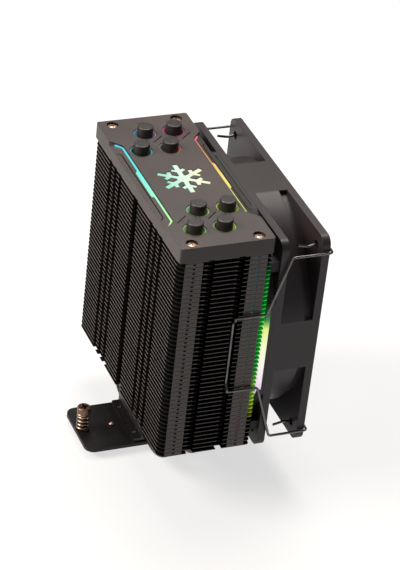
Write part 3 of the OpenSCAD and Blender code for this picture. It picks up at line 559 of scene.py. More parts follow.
@dataclass(frozen=True)
class PlatedMetal(UnevenFinish):
    """Plated steel or copper: mirror-like, with fine drawing or turning lines along one axis."""

    roughness: float = 0.22
    line_mm: float = 0.25
    line_depth_mm: float = 0.01
    line_stretch: float = 14.0
    along: Axis = Axis.Z
    tarnish: str = "#6f6660"
    patch_mm: float = 5.0
    patch_range: tuple[float, float] = (0.4, 0.7)
    amount: float = 0.25
    bump: float = 0.25
    edge_mm: float = 0.1

    def sockets(self, tree: Tree, place: Any) -> dict[str, Any]:
        """Stretches a noise along the axis into lines and tints the plating unevenly.

        Args:
            tree: the material's tree.
            place: the Object coordinates' socket.

        Returns:
            What the shader's sockets get, by their names.
        """
        scale = [per_mm(self.line_mm)] * 3
        scale[self.along.value] /= self.line_stretch
        lines = add(tree, "TexNoise", add(tree, "Mapping", place, links={"Scale": scale}), 1.0, 1.0)
        patch = add(tree, "TexNoise", place, per_mm(self.patch_mm), 3.0)
        tone = add(tree, "MapRange", patch, *self.patch_range, 0.0, self.amount)
        return {
            "Base Color": add(tree, "Mix", tone, self.colour, self.tarnish, data_type="RGBA"),
            "Metallic": 1.0,
            "Roughness": add(tree, "MapRange", lines, *NOISE, *self.sheen()),
            "Normal": relief(tree, lines, self.bump, self.line_depth_mm, self.edge_mm),
        }


@dataclass(frozen=True)
class MilledBase(Finish):
    """A black coat on copper, milled bare on the contact face, where the cutter leaves bright arcs."""

    bare: str = "#c9c4c0"
    dull: str = "#a8a4a2"
    patch_mm: float = 9.0
    bare_below_mm: float = 0.05
    pitch_mm: float = 0.7
    arc_depth_mm: float = 0.01
    waver: float = 0.4
    sheen: tuple[float, float] = (0.24, 0.36)
    bump: float = 0.3
    cutter_mm: tuple[float, float, float] = (160.0, 20.0, 0.0)
    edge_mm: float = 0.15

    def sockets(self, tree: Tree, place: Any) -> dict[str, Any]:
        """Draws the cutter's arcs as rings round a centre far off the block, on the lowest face only.

        Args:
            tree: the material's tree.
            place: the Object coordinates' socket.

        Returns:
            What the shader's sockets get, by their names.
        """
        start = self.bare_below_mm * MM
        coat = add(tree, "MapRange", add(tree, "SeparateXYZ", place).outputs["Z"], start, 2 * start)
        off = add(tree, "Mapping", place, [c * MM for c in self.cutter_mm])
        # the wave turns by 20 radians to a unit, so the arcs stand 2 pi pitches apart, coarse enough to show
        arcs = add(tree, "TexWave", off, per_mm(self.pitch_mm) / 20, self.waver, 1.0, wave_type="RINGS",
                   rings_direction="Z").outputs["Fac"]
        patch = add(tree, "TexNoise", place, per_mm(self.patch_mm), 3.0)
        metal = add(tree, "ValToRGB", patch, stops=((0.3, self.bare), (0.8, self.dull)))
        return {
            "Base Color": add(tree, "Mix", coat, metal, self.colour, data_type="RGBA"),
            "Metallic": add(tree, "Math", 1.0, coat, operation="SUBTRACT"),
            "Roughness": add(tree, "MapRange", arcs, 0.0, 1.0, *self.sheen),
            "Normal": relief(tree, arcs, self.bump, self.arc_depth_mm, self.edge_mm),
        }


@dataclass(frozen=True)
class CoverGlow(Finish):
    """Milky acrylic lit by colour chips: hues run along the cover and differ on its two sides."""

    strip: float = 0.8
    window: float = 0.72
    ring: float = 0.24
    ring_low: float = 0.08
    even_low: float = 0.85
    tint: float = 0.7
    left: Stops = ((0.0, "#0cc4f0"), (0.3, "#3fe0de"), (0.6, "#86f0cf"), (1.0, "#b8f07a"))
    right: Stops = ((0.0, "#f0309c"), (0.2, "#f58a3c"), (0.55, "#f2dc6a"), (1.0, "#c6ec5c"))
    panes: Stops = ((0.0, "#93e6cd"), (0.45, "#d4f3e0"), (1.0, "#f4f0cc"))
    half_x_mm: float = 42.0
    half_y_mm: float = 9.0
    strip_y_mm: float = 18.0
    window_x_mm: float = 20.0
    chip_mm: float = 7.0
    chip_range: tuple[float, float] = (0.4, 0.6)
    roughness: float = 0.3

    def sockets(self, tree: Tree, place: Any) -> dict[str, Any]:
        """Blends the left and right colour runs across the cover; the cap rings are lit unevenly.

        Args:
            tree: the material's tree.
            place: the Object coordinates' socket.

        Returns:
            What the shader's sockets get, by their names.
        """
        x, y, _, x_out, y_out = spread(tree, place)
        along = add(tree, "MapRange", x, -self.half_x_mm * MM, self.half_x_mm * MM)
        side = add(tree, "MapRange", y, -self.half_y_mm * MM, self.half_y_mm * MM)
        runs = [add(tree, "ValToRGB", along, stops=run) for run in (self.left, self.right)]
        edge_hue = add(tree, "Mix", side, *runs, data_type="RGBA")
        window_hue = add(tree, "ValToRGB", side, stops=self.panes)
        hot = add(tree, "TexNoise", place, per_mm(self.chip_mm), 1.0)
        patchy = add(tree, "MapRange", hot, *self.chip_range, self.ring_low * self.ring, self.ring)
        even = add(tree, "MapRange", hot, *NOISE, self.even_low, 1.0)
        in_strip = add(tree, "Math", y_out, self.strip_y_mm * MM, operation="GREATER_THAN")
        in_ring = add(tree, "Math", x_out, self.window_x_mm * MM, operation="GREATER_THAN")
        inner = add(tree, "Mix", in_ring, product(tree, even, self.window), patchy, data_type="FLOAT")
        glow = add(tree, "Mix", in_strip, inner, product(tree, even, self.strip), data_type="FLOAT")
        outside = add(tree, "Math", in_strip, in_ring, operation="MAXIMUM")
        hue = add(tree, "Mix", outside, window_hue, edge_hue, data_type="RGBA")
        skin = add(tree, "Mix", self.tint, self.colour, hue, data_type="RGBA", blend_type="MULTIPLY")
        return {"Base Color": skin, "Roughness": self.roughness, "Emission Color": hue,
                "Emission Strength": glow}


@dataclass(frozen=True)
class HaloGlow(Finish):
    """Milky polycarbonate ring: lit yellow-white round the middle of a side, darker above and below."""

    strength: float = 0.92
    centre_z_mm: float = 85.0
    reach_z_mm: float = 60.0
    lit_from: tuple[float, float] = (0.19, 0.24)
    lit_to: tuple[float, float] = (0.6, 0.67)
    glow_above: float = 0.1
    cloud_mm: float = 9.0
    sheen: tuple[float, float] = (0.3, 0.42)
    dark_ends: tuple[str, str, str] = ("#101210", "#12261a", "#0c100d")
    hues: Stops = (
        (0.2, "#8a5cc0"), (0.25, "#c79ae0"), (0.33, "#f3dcf2"), (0.43, "#fbf8e8"),
        (0.52, "#fafbc8"), (0.6, "#dff07c"), (0.64, "#2fb04a"), (0.95, "#147a38"))

    def sockets(self, tree: Tree, place: Any) -> dict[str, Any]:
        """Runs the hue, the light and the darker ends by height over the ring.

        Args:
            tree: the material's tree.
            place: the Object coordinates' socket.

        Returns:
            What the shader's sockets get, by their names.
        """
        low, high = self.centre_z_mm - self.reach_z_mm, self.centre_z_mm + self.reach_z_mm
        height = add(tree, "MapRange", add(tree, "SeparateXYZ", place).outputs["Z"], low * MM, high * MM)
        # the ring's colour is darker below and above the lit band, and its glow is weaker above it
        foot, shoulder, top = self.dark_ends
        lit = product(tree, add(tree, "MapRange", height, *self.lit_from),
                      add(tree, "MapRange", height, *self.lit_to, 1.0, self.glow_above))
        cloud = add(tree, "TexNoise", place, per_mm(self.cloud_mm), 1.0)
        return {
            "Base Color": add(tree, "ValToRGB", height, stops=(
                (0.18, foot), (0.22, self.colour), (0.6, self.colour), (0.66, shoulder), (0.95, top))),
            "Roughness": add(tree, "MapRange", cloud, *NOISE, *self.sheen),
            "Emission Color": add(tree, "ValToRGB", height, stops=self.hues),
            "Emission Strength": product(tree, lit, self.strength),
        }


@dataclass(frozen=True)
class SolderMask(Finish):
    """Glass-epoxy board under a solder mask: tracks show as a raised maze of lines."""

    track: str = "#d9d7cf"
    track_mm: float = 2.2
    track_depth_mm: float = 0.03
    track_range: tuple[float, float] = (0.42, 0.5)
    jitter: float = 0.6
    roughness: float = 0.32
    bump: float = 0.4

    def sockets(self, tree: Tree, place: Any) -> dict[str, Any]:
        """Takes the tracks from the edges of a cell pattern on a square grid.

        Args:
            tree: the material's tree.
            place: the Object coordinates' socket.

        Returns:
            What the shader's sockets get, by their names.
        """
        cells = add(tree, "TexVoronoi", place, per_mm(self.track_mm), links={"Randomness": self.jitter},
                    distance="CHEBYCHEV")
        line = add(tree, "MapRange", cells, *self.track_range)
        return {"Base Color": add(tree, "Mix", line, self.colour, self.track, data_type="RGBA"),
                "Roughness": self.roughness, "Normal": relief(tree, line, self.bump, self.track_depth_mm)}


@dataclass(frozen=True)
class Silicone(Finish):
    """Silicone rubber: nearly no shine, dusty in its pores."""

    dust: str = "#1b1a1a"
    dust_mm: float = 4.0
    pore_mm: float = 0.6
    pore_depth_mm: float = 0.03
    roughness: float = 0.72
    bump: float = 0.5

    def sockets(self, tree: Tree, place: Any) -> dict[str, Any]:
        """Mottles the colour with dust and roughens the skin with fine pores.

        Args:
            tree: the material's tree.
            place: the Object coordinates' socket.

        Returns:
            What the shader's sockets get, by their names.
        """
        pores = add(tree, "TexNoise", place, per_mm(self.pore_mm), 3.0)
        dust = add(tree, "TexNoise", place, per_mm(self.dust_mm), 2.0)
        return {"Base Color": add(tree, "ValToRGB", dust, stops=((0.35, self.colour), (0.75, self.dust))),
                "Roughness": self.roughness, "Normal": relief(tree, pores, self.bump, self.pore_depth_mm)}


@dataclass(frozen=True)
class Layered(Finish):
    """Stacked or wound metal, such as laminations or enamelled turns: bands across the fan's axis."""

    groove: str = "#2a2624"
    groove_depth_mm: float = 0.12
    groove_range: tuple[float, float] = (0.05, 0.2)
    pitch_mm: float = 0.5
    roughness: float = 0.35
    bump: float = 0.7

    def sockets(self, tree: Tree, place: Any) -> dict[str, Any]:
        """Cuts dark grooves by a triangle of the place along the axis, one to a pitch.

        Args:
            tree: the material's tree.
            place: the Object coordinates' socket.

        Returns:
            What the shader's sockets get, by their names.
        """
        turns = product(tree, add(tree, "SeparateXYZ", place).outputs["Y"], per_mm(self.pitch_mm))
        fold = add(tree, "Math", turns, 0.5, operation="PINGPONG")
        band = add(tree, "MapRange", fold, *self.groove_range)
        return {"Base Color": add(tree, "Mix", band, self.groove, self.colour, data_type="RGBA"),
                "Metallic": 1.0, "Roughness": self.roughness,
                "Normal": relief(tree, band, self.bump, self.groove_depth_mm)}


@dataclass(frozen=True)
class StudioFloor(Finish):
    """Matt studio paper. The camera, gloss and glass see it near white; it lights softly."""

    second: str = "#8f8f8e"
    fibre_mm: float = 60.0
    shown: float = 0.66
    fill: str = "#4c4b4a"

    def shader(self, tree: Tree, place: Any) -> Node:
        """Chooses the bright or the duller paper by the kind of ray that looks at it.

        Args:
            tree: the material's tree.
            place: the Object coordinates' socket.

        Returns:
            The mixed shader's node.
        """
        fibres = add(tree, "TexNoise", place, per_mm(self.fibre_mm), 2.0)
        paper = add(tree, "ValToRGB", fibres, stops=((0.3, self.colour), (0.7, self.second)))
        ray = add(tree, "LightPath").outputs
        seen = add(tree, "Math", ray["Is Camera Ray"], ray["Is Glossy Ray"], operation="MAXIMUM")
        seen = add(tree, "Math", seen, ray["Is Transmission Ray"], operation="MAXIMUM")
        lift = add(tree, "Emission", WHITE, self.shown)
        bright = add(tree, "AddShader", add(tree, "BsdfDiffuse", paper), lift)
        return add(tree, "MixShader", seen, add(tree, "BsdfDiffuse", self.fill), bright)


# ---------------------------------------------------------------- surfaces


def grid_quads(rows: int, cols: int, close_cols: bool) -> np.ndarray:
    """Numbers the quads of a grid of points that is stored row by row.

    Args:
        rows: points along the first parameter.
        cols: points along the second parameter.
        close_cols: whether the last column joins the first.

    Returns:
        An array of quads, four point numbers each.
    """
    span = cols if close_cols else cols - 1
    i, j = np.meshgrid(np.arange(rows - 1), np.arange(span), indexing="ij")
    k = (j + 1) % cols
    return np.stack([i * cols + j, i * cols + k, (i + 1) * cols + k, (i + 1) * cols + j], axis=-1).reshape(-1, 4)


@dataclass
class Surface:
    """Points and faces that are being gathered for one piece."""

    points: list[np.ndarray] = field(default_factory=list)
    faces: list[list[int]] = field(default_factory=list)
    count: int = 0

    def put(self, points: np.ndarray, quads: np.ndarray, ends: list[list[int]] | None = None) -> None:
        """Adds one sheet, its quads and any faces that close it.

        Args:
            points: the sheet's points in millimetres.
            quads: its quads, by its own point numbers.
            ends: further faces, by its own point numbers.
        """
        self.points.append(points.reshape(-1, 3))
        self.faces += (quads + self.count).tolist()
        self.faces += [[k + self.count for k in end] for end in ends or []]
        self.count += self.points[-1].shape[0]

    def piece(self, name: str, body: str, slot: str, angle: float = 35.0) -> bpy.types.Object:
        """Makes the gathered sheets one smooth-shaded piece that rides on a body.

        Args:
            name: the piece's name.
            body: the CAD body that carries it.
            slot: not used.
            angle: edges sharper than this many degrees stay sharp.

        Returns:
            The object, at the origin, with its place in its mesh.
        """
        mesh = bpy.data.meshes.new(name)
        mesh.from_pydata((np.concatenate(self.points) * MM).tolist(), [], self.faces)
        mesh.validate()
        mesh.shade_smooth()
        mesh.set_sharp_from_angle(angle=math.radians(angle))
        obj = bpy.data.objects.new(name, mesh)
        bpy.context.scene.collection.objects.link(obj)
        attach(obj, body)
        return obj


def tube(surface: Surface, path: np.ndarray, radius: np.ndarray | float, sides: int,
         lean: tuple[float, float, float]) -> None:
    """Adds a round tube along a path, closed at both ends.

    A ring of points stands square to the path at each station: station + radius times
    (cos a along the side + sin a along the up), where the side is the path's direction
    crossed with a fixed leaning vector that the path never runs along.

    Args:
        surface: what gets the tube.
        path: stations in millimetres, one a row.
        radius: the tube's radius, one for all or one a station.
        sides: points in a ring.
        lean: the fixed vector.
    """
    step = np.gradient(path, axis=0)
    step /= np.linalg.norm(step, axis=1, keepdims=True)
    side = np.cross(step, np.array(lean, float))
    side /= np.linalg.norm(side, axis=1, keepdims=True)
    up = np.cross(step, side)
    turn = np.linspace(0, 2 * np.pi, sides, endpoint=False)
    around = np.cos(turn)[None, :, None] * side[:, None] + np.sin(turn)[None, :, None] * up[:, None]
    reach = np.broadcast_to(np.asarray(radius, float), (len(path),))
    points = path[:, None] + reach[:, None, None] * around
    last = (len(path) - 1) * sides
    surface.put(points, grid_quads(len(path), sides, True),
                [list(range(sides))[::-1], list(range(last, last + sides))])


def lathe(surface: Surface, profile: np.ndarray, centre: tuple[float, float, float], steps: int,
          along: Axis = Axis.Z) -> None:
    """Turns a profile of radius and height round an axis.

    Each point is centre + radius times (cos a, sin a) across the axis + height along it.

    Args:
        surface: what gets the sheet.
        profile: rows of radius and height, from one end of the outline to the other.
        centre: a point on the axis, in millimetres.
        steps: points in a circle.
        along: the axis.
    """
    turn = np.linspace(0, 2 * np.pi, steps, endpoint=False)
    radius, height = profile[:, 0, None], profile[:, 1, None]
    across, lift = radius * np.cos(turn), radius * np.sin(turn)
    tall = np.broadcast_to(height, across.shape)
    order = {Axis.X: (tall, across, lift), Axis.Y: (lift, tall, across), Axis.Z: (across, lift, tall)}[along]
    surface.put(np.stack(order, axis=-1) + np.array(centre), grid_quads(len(profile), steps, True))


def rounded(corners: np.ndarray, radius: float, steps: int) -> np.ndarray:
    """Rounds the corners of a path with arcs.

    At each inner corner the arc touches both legs, a distance radius / tan(half the corner's
    angle) back from it, and its points are centre + radius times a unit vector that turns
    evenly from one touching point to the other.

    Args:
        corners: the path's corners, one a row.
        radius: the arcs' radius where the legs are long enough.
        steps: spans in an arc.

    Returns:
        The rounded path.
    """
    before, at, after = corners[:-2], corners[1:-1], corners[2:]
    to_before, to_after = before - at, after - at
    long_u = np.linalg.norm(to_before, axis=1, keepdims=True)
    long_v = np.linalg.norm(to_after, axis=1, keepdims=True)
    u, v = to_before / long_u, to_after / long_v
    half = np.arccos(np.clip((u * v).sum(1, keepdims=True), -1, 1)) / 2
    # an arc takes a little less than half of a leg, so that two arcs on one leg never meet
    back = np.minimum(radius / np.tan(half), np.minimum(long_u, long_v) / 2.02)
    reach = back * np.tan(half)
    middle = u + v
    middle /= np.linalg.norm(middle, axis=1, keepdims=True)
    centre = at + middle * reach / np.sin(half)
    first, last = at + u * back - centre, at + v * back - centre
    first /= np.linalg.norm(first, axis=1, keepdims=True)
    last /= np.linalg.norm(last, axis=1, keepdims=True)
    swing = np.arccos(np.clip((first * last).sum(1, keepdims=True), -1, 1))[:, None]
    t = np.linspace(0, 1, steps + 1)[None, :, None]
    arcs = (np.sin((1 - t) * swing) * first[:, None] + np.sin(t * swing) * last[:, None]) / np.sin(swing)
    bends = (centre[:, None] + reach[:, None] * arcs).reshape(-1, 3)
    return np.concatenate([corners[:1], bends, corners[-1:]])


# ---------------------------------------------------------------- finishes of this object

BLACK_COVER = EngravedPlastic("cover_moulded_abs", "#3b322f", second="#332b28", roughness=0.46, edge_mm=0.3,
                              level=0.45)
BLACK_FRAME = MouldedPlastic("fan_frame_moulded_pbt", "#2b2325", second="#251e20", roughness=0.44, edge_mm=0.4,
                             level=0.4)
BLACK_IMPELLER = MouldedPlastic("impeller_moulded_pbt", "#302e36", second="#29272f", roughness=0.36, grain_mm=0.8)
DARK_TRAY = MouldedPlastic("tray_moulded_abs", "#1d1c1d", second="#171617", roughness=0.55)
FIN_COAT = LitFins("fin_electrocoated_aluminium", "#0b0a0a")
BLOCK_COAT = CoatedSheet("block_black_anodised_aluminium", "#1f1c1d", worn="#3a3535", roughness=0.42, wear=0.2,
                         edge_mm=0.2)
CAP_COAT = CoatedSheet("cap_electrocoated_aluminium", "#2a2625", worn="#4a4442", roughness=0.34, wear=0.2,
                       edge_mm=0.3)
BAR_COAT = CoatedSheet("bar_powder_coated_steel", "#110e0f", worn="#2a2625", roughness=0.5, wear=0.25,
                       peel_mm=0.8, edge_mm=0.25, level=0.3, rubbed_above_mm=5.8)
PIPE_PLATE = PlatedMetal("pipe_black_nickel_on_copper", "#2a2627", roughness=0.34, tarnish="#4a3428", amount=0.3)
NICKEL = PlatedMetal("screw_nickel_plated_steel", "#d2baa6", roughness=0.42, line_mm=0.4, tarnish="#9c8674")
ZINC = PlatedMetal("zinc_plated_steel", "#9fa0a2", roughness=0.34, line_mm=0.3)
DARK_SCREW = PlatedMetal("screw_black_oxide_steel", "#786052", roughness=0.38, line_mm=0.35, tarnish="#45382f")
SPRING_WIRE = PlatedMetal("spring_nickel_plated_music_wire", "#b8a08c", roughness=0.24, line_mm=0.2,
                          tarnish="#8a7462")
CLIP_WIRE = PlatedMetal("clip_drawn_steel_wire", "#6b686a", roughness=0.28, line_mm=0.2, tarnish="#3a3838",
                        amount=0.5)
GROUND = PlatedMetal("shaft_ground_steel", "#c3c4c6", roughness=0.18, along=Axis.Y)
BRONZE = PlatedMetal("bush_sintered_bronze", "#b0804e", roughness=0.42, line_mm=0.15, along=Axis.Y,
                     tarnish="#6d4f30")
BASE_METAL = MilledBase("base_black_coat_on_copper", "#141213")
COVER_GLOW = CoverGlow("light_guide_milky_acrylic", "#7d827f")
HALO_GLOW = HaloGlow("halo_milky_polycarbonate", "#8d9186")
WHITE_BOARD = SolderMask("led_board_white_mask", "#dcdad2", track="#efeee9", track_mm=3.0)
GREEN_BOARD = SolderMask("motor_board_green_mask", "#1d5a34", track="#3c8a55")
CHIP_LENS = SolderMask("chip_silicone_lens", "#e9e6d4", track="#f2ca62", track_mm=1.6)
PAD_RUBBER = Silicone("pad_silicone_rubber", "#0c0b0b")
MAGNET_STRIP = Silicone("magnet_bonded_ferrite", "#35302d", dust="#4a4440")
LAMINATIONS = Layered("stator_silicon_steel", "#8d9096", pitch_mm=0.5)
WINDINGS = Layered("winding_enamelled_copper", "#b4632f", groove="#5a2c12", pitch_mm=0.35, roughness=0.28)
NYLON = Silicone("washer_punched_nylon", "#dcdad0", dust="#c4c0b2")


class Workshop:
    """Builds each finish once and hands it out again."""

    def __init__(self) -> None:
        """Starts with no material made."""
        self.made: dict[str, bpy.types.Material] = {}

    def get(self, finish: Finish) -> bpy.types.Material:
        """Gives a finish's material, which is built the first time.

        Args:
            finish: the finish.

        Returns:
            Its material.
        """
        if finish.name not in self.made:
            self.made[finish.name] = finish.build()
        return self.made[finish.name]

    def dress(self, coats: dict[str, Finish]) -> None:
        """Gives CAD nodes that keep their shape their material in every slot.

        Args:
            coats: each node's finish.
        """
        for node, finish in coats.items():
            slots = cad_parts[node].data.materials
            slots.clear()
            slots.append(self.get(finish))
            LOG.info("node %s: %s", node, finish.name)

    def paint(self, piece: bpy.types.Object, finish: Finish) -> bpy.types.Object:
        """Gives a new piece its material.

        Args:
            piece: the piece.
            finish: its finish.

        Returns:
            The piece.
        """
        piece.data.materials.append(self.get(finish))
        LOG.info("piece %s: %s, %d faces", piece.name, finish.name, len(piece.data.polygons))
        return piece


# ---------------------------------------------------------------- sub-assemblies


@dataclass
class SubAssembly:
    """What every sub-assembly shares: the CAD nodes that it dresses as they are."""

    coats: ClassVar[dict[str, Finish]] = {}

    def build(self, shop: Workshop) -> None:
        """Dresses the sub-assembly's nodes."""
        shop.dress(self.coats)


@dataclass
class Tower(SubAssembly):
    """Base, heat pipes, fins and caps."""

    coats: ClassVar[dict[str, Finish]] = {
        "base_plate": BASE_METAL, "base_block": BLOCK_COAT, "heat_pipe_1": PIPE_PLATE, "heat_pipe_2": PIPE_PLATE,
        "heat_pipe_3": PIPE_PLATE, "heat_pipe_4": PIPE_PLATE, "fin_stack": FIN_COAT, "pipe_caps": CAP_COAT,
    }


@dataclass
class LitCover(SubAssembly):
    """The cover, the parts under it and its screws."""

    coats: ClassVar[dict[str, Finish]] = {
        "top_cover": BLACK_COVER, "cover_tray": DARK_TRAY, "light_guide": COVER_GLOW,
        "cover_led_board": WHITE_BOARD, "cover_leds": CHIP_LENS, "cover_screws": NICKEL,
    }


@dataclass
class SpringScrew:
    """One sprung screw of the mounting bar, with its thread and its spring."""

    side: str
    y: float
    spring_d: float = 6.6
    wire_d: float = 0.9
    turns: int = 5
    turn_steps: int = 30
    wire_sides: int = 12
    end_pitch: float = 1.4
    thread_r: float = 1.5
    ridge_r: float = 0.14
    ridge_tip: float = 0.1
    ridge_sides: int = 6
    thread_pitch: float = 0.5
    thread_steps: int = 20
    thread_from: float = 0.95
    thread_to: float = 1.95
    press: float = 4.0

    def seat(self) -> float:
        """Gives the height of the spring's foot on the bar."""
        return low_end(f"screw_spring_{self.side}", Axis.Z)

    def length(self) -> float:
        """Gives the spring's height at rest."""
        return high_end(f"screw_spring_{self.side}", Axis.Z) - self.seat()

    def helix(self, t: np.ndarray, radius: float, z: np.ndarray) -> np.ndarray:
        """Winds a line round the screw: (R cos 2 pi t, y + R sin 2 pi t, z) at each t.

        Args:
            t: turns done at each station.
            radius: the line's distance R from the screw's axis.
            z: the height of each station.

        Returns:
            The stations, one a row.
        """
        turn = 2 * np.pi * t
        return np.stack([radius * np.cos(turn), self.y + radius * np.sin(turn), z], axis=1)

    def spring(self) -> Surface:
        """Winds the spring: a helix whose rise is slow in both end turns and even between.

        Its height runs through the ends of the closed turns on straight lines.

        Returns:
            The wire's surface.
        """
        rise = self.length() - self.wire_d
        t = np.linspace(0, self.turns, self.turns * self.turn_steps + 1)
        z = np.interp(t, [0, 1, self.turns - 1, self.turns],
                      [0, self.end_pitch, rise - self.end_pitch, rise])
        path = self.helix(t, (self.spring_d - self.wire_d) / 2, self.seat() + self.wire_d / 2 + z)
        surface = Surface()
        tube(surface, path, self.wire_d / 2, self.wire_sides, (0, 0, 1))
        return surface

    def thread(self) -> Surface:
        """Winds the thread: a small ridge along a helix round the screw's tip, thin at its ends.

        Returns:
            The ridge's surface.
        """
        turns = (self.thread_to - self.thread_from) / self.thread_pitch
        t = np.linspace(0, turns, int(turns * self.thread_steps))
        path = self.helix(t, self.thread_r, self.thread_from + t * self.thread_pitch)
        ends = np.minimum(1, np.minimum(t, turns - t) + self.ridge_tip)
        surface = Surface()
        tube(surface, path, self.ridge_r * ends, self.ridge_sides, (0, 0, 1))
        return surface

    def build(self, shop: Workshop) -> None:
        """Makes the spring and the thread and dresses the screw.

        Args:
            shop: makes and hands out the finishes.
        """
        spring = shop.paint(self.spring().piece(f"spring_{self.side}", HEATSINK, "spring_wire"), SPRING_WIRE)
        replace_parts(spring, f"screw_spring_{self.side}")
        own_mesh(spring)
        thread = self.thread().piece(f"thread_{self.side}", f"screw_{self.side}", "dark_steel_screw")
        shop.paint(thread, DARK_SCREW)
        shop.dress({f"spring_screw_{self.side}": DARK_SCREW, f"e_clip_{self.side}": ZINC})


@dataclass
class MountingBar(SubAssembly):
    """The bar across the base and its two spring screws."""

    coats: ClassVar[dict[str, Finish]] = {"mounting_bar": BAR_COAT, "bar_screws": ZINC}
    screw_pitch: float = 82.0

    def build(self, shop: Workshop) -> None:
        """Dresses the bar and builds both screws.

        Args:
            shop: makes and hands out the finishes.
        """
        super().build(shop)
        for side, hand in (("rear", -1), ("front", 1)):
            SpringScrew(side, hand * self.screw_pitch / 2).build(shop)


@dataclass
class Fan(SubAssembly):
    """The fan: frame, impeller and motor. Heights run from the fin side to the air inlet."""

    coats: ClassVar[dict[str, Finish]] = {
        "fan_frame": BLACK_FRAME, "rotor_yoke": ZINC, "rotor_magnet": MAGNET_STRIP, "fan_shaft": GROUND,
        "shaft_retainer": NYLON, "bearing_bush": BRONZE, "stator_core": LAMINATIONS,
        "stator_windings": WINDINGS, "fan_board": GREEN_BOARD, "fan_pads": PAD_RUBBER,
    }
    back_y: float = field(default_factory=lambda: low_end("fan_frame", Axis.Y))
    centre_z: float = field(default_factory=lambda: middle("fan_frame", Axis.Z))
    hub_r: float = 21.0
    hub_low: float = 5.0
    hub_top: float = 23.5
    hub_round: float = 2.0
    hub_wall: float = 1.5
    hub_steps: int = 96
    round_steps: int = 9
    cap: float = 1.8
    web: float = 1.2
    bore_r: float = 1.52
    boss_r: float = 4.0
    boss_h: float = 5.0
    mark_r: float = 16.6
    mark_w: float = 1.0
    mark_depth: float = 0.3
    axis_r: float = 0.001
    tip_r: float = 56.7
    root_in: float = 0.6
    blades: int = 9
    blade_rows: int = 25
    blade_cols: int = 19
    blade_t: float = 1.6
    blade_h: float = 15.0
    blade_mid: float = 12.8
    blade_span: float = 34.0
    blade_swell: float = 3.0
    blade_lean: float = 15.0
    blade_fall: float = 2.0
    camber: float = 1.5
    edge_thin: float = 0.72

    def blade(self, surface: Surface, turn_deg: float) -> None:
        """Adds one blade: a bent slab whose pitch flattens and which leans forward outwards.

        With u from hub to tip and s from edge to edge, radius = root + u (tip - root), angle =
        lean(u) + span(u) (s - 1/2), and height = middle + rise(u) (s - 1/2) + camber sin(pi s)
        plus or minus half the thickness, which falls off towards both edges.

        Args:
            surface: what gets the blade.
            turn_deg: the blade's place round the hub.
        """
        u = np.linspace(0, 1, self.blade_rows)[:, None]
        s = np.linspace(0, 1, self.blade_cols)
        loop_s = np.concatenate([s, s[::-1]])[None]
        face = np.concatenate([np.ones_like(s), -np.ones_like(s)])[None]
        radius = self.hub_r - self.root_in + u * (self.tip_r - self.hub_r + self.root_in)
        span = self.blade_span + self.blade_swell * np.sin(np.pi * u)
        angle = np.radians(turn_deg - self.blade_lean * u ** 1.5 + span * (loop_s - 0.5))
        rise = self.blade_h - self.blade_fall + self.blade_fall * u
        thick = self.blade_t / 2 * (1 - self.edge_thin * (2 * loop_s - 1) ** 2)
        height = self.blade_mid + rise * (loop_s - 0.5) + self.camber * np.sin(np.pi * loop_s) + face * thick
        radius = np.broadcast_to(radius, angle.shape)
        points = np.stack([radius * np.cos(angle), self.back_y + height,
                           self.centre_z - radius * np.sin(angle)], axis=-1)
        cols = loop_s.shape[1]
        last = (len(u) - 1) * cols
        ends = [[k, cols - 1 - k, cols - 2 - k, k + 1] for k in range(len(s) - 1)]
        ends += [[last + k, last + k + 1, last + cols - 2 - k, last + cols - 1 - k] for k in range(len(s) - 1)]
        surface.put(points, grid_quads(len(u), cols, True)[:, ::-1], [end[::-1] for end in ends])

    def impeller(self) -> Surface:
        """Turns the hub's cup on a lathe and sets the blades round it.

        The profile runs from the axis over the boss and the cup's inside to its rim, then over
        the rounded shoulder and the shallow mark in the hub's face back to the axis.

        Returns:
            The impeller's surface.
        """
        surface = Surface()
        edge = np.linspace(0, np.pi / 2, self.round_steps)
        top, shoulder, inside = self.hub_top, self.hub_round, self.hub_r - self.hub_wall
        inner = [[self.axis_r, top - self.web], [self.bore_r, top - self.web], [self.bore_r, top - self.boss_h],
                 [self.boss_r, top - self.boss_h], [self.boss_r, top - self.cap], [inside, top - self.cap],
                 [inside, self.hub_low], [self.hub_r, self.hub_low]]
        rim = np.stack([self.hub_r - shoulder + shoulder * np.cos(edge), top - shoulder + shoulder * np.sin(edge)],
                       axis=1)
        slope = self.mark_depth
        mark = [[self.mark_r, top], [self.mark_r - slope, top - slope],
                [self.mark_r - self.mark_w + slope, top - slope], [self.mark_r - self.mark_w, top],
                [self.axis_r, top]]
        lathe(surface, np.concatenate([inner, rim, mark]), (0, self.back_y, self.centre_z),
              self.hub_steps, Axis.Y)
        for k in range(self.blades):
            self.blade(surface, 360 / self.blades * k)
        return surface

    def build(self, shop: Workshop) -> None:
        """Makes the impeller and dresses the frame and the motor.

        Args:
            shop: makes and hands out the finishes.
        """
        impeller = self.impeller().piece("impeller", "rotor", "black_impeller", angle=40)
        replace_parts(shop.paint(impeller, BLACK_IMPELLER), "fan_impeller")
        super().build(shop)


@dataclass
class Halo(SubAssembly):
    """The light ring between the fan and the fins."""

    coats: ClassVar[dict[str, Finish]] = {
        "halo_housing": DARK_TRAY, "halo_light": HALO_GLOW, "halo_led_strip": WHITE_BOARD, "halo_leds": CHIP_LENS,
    }


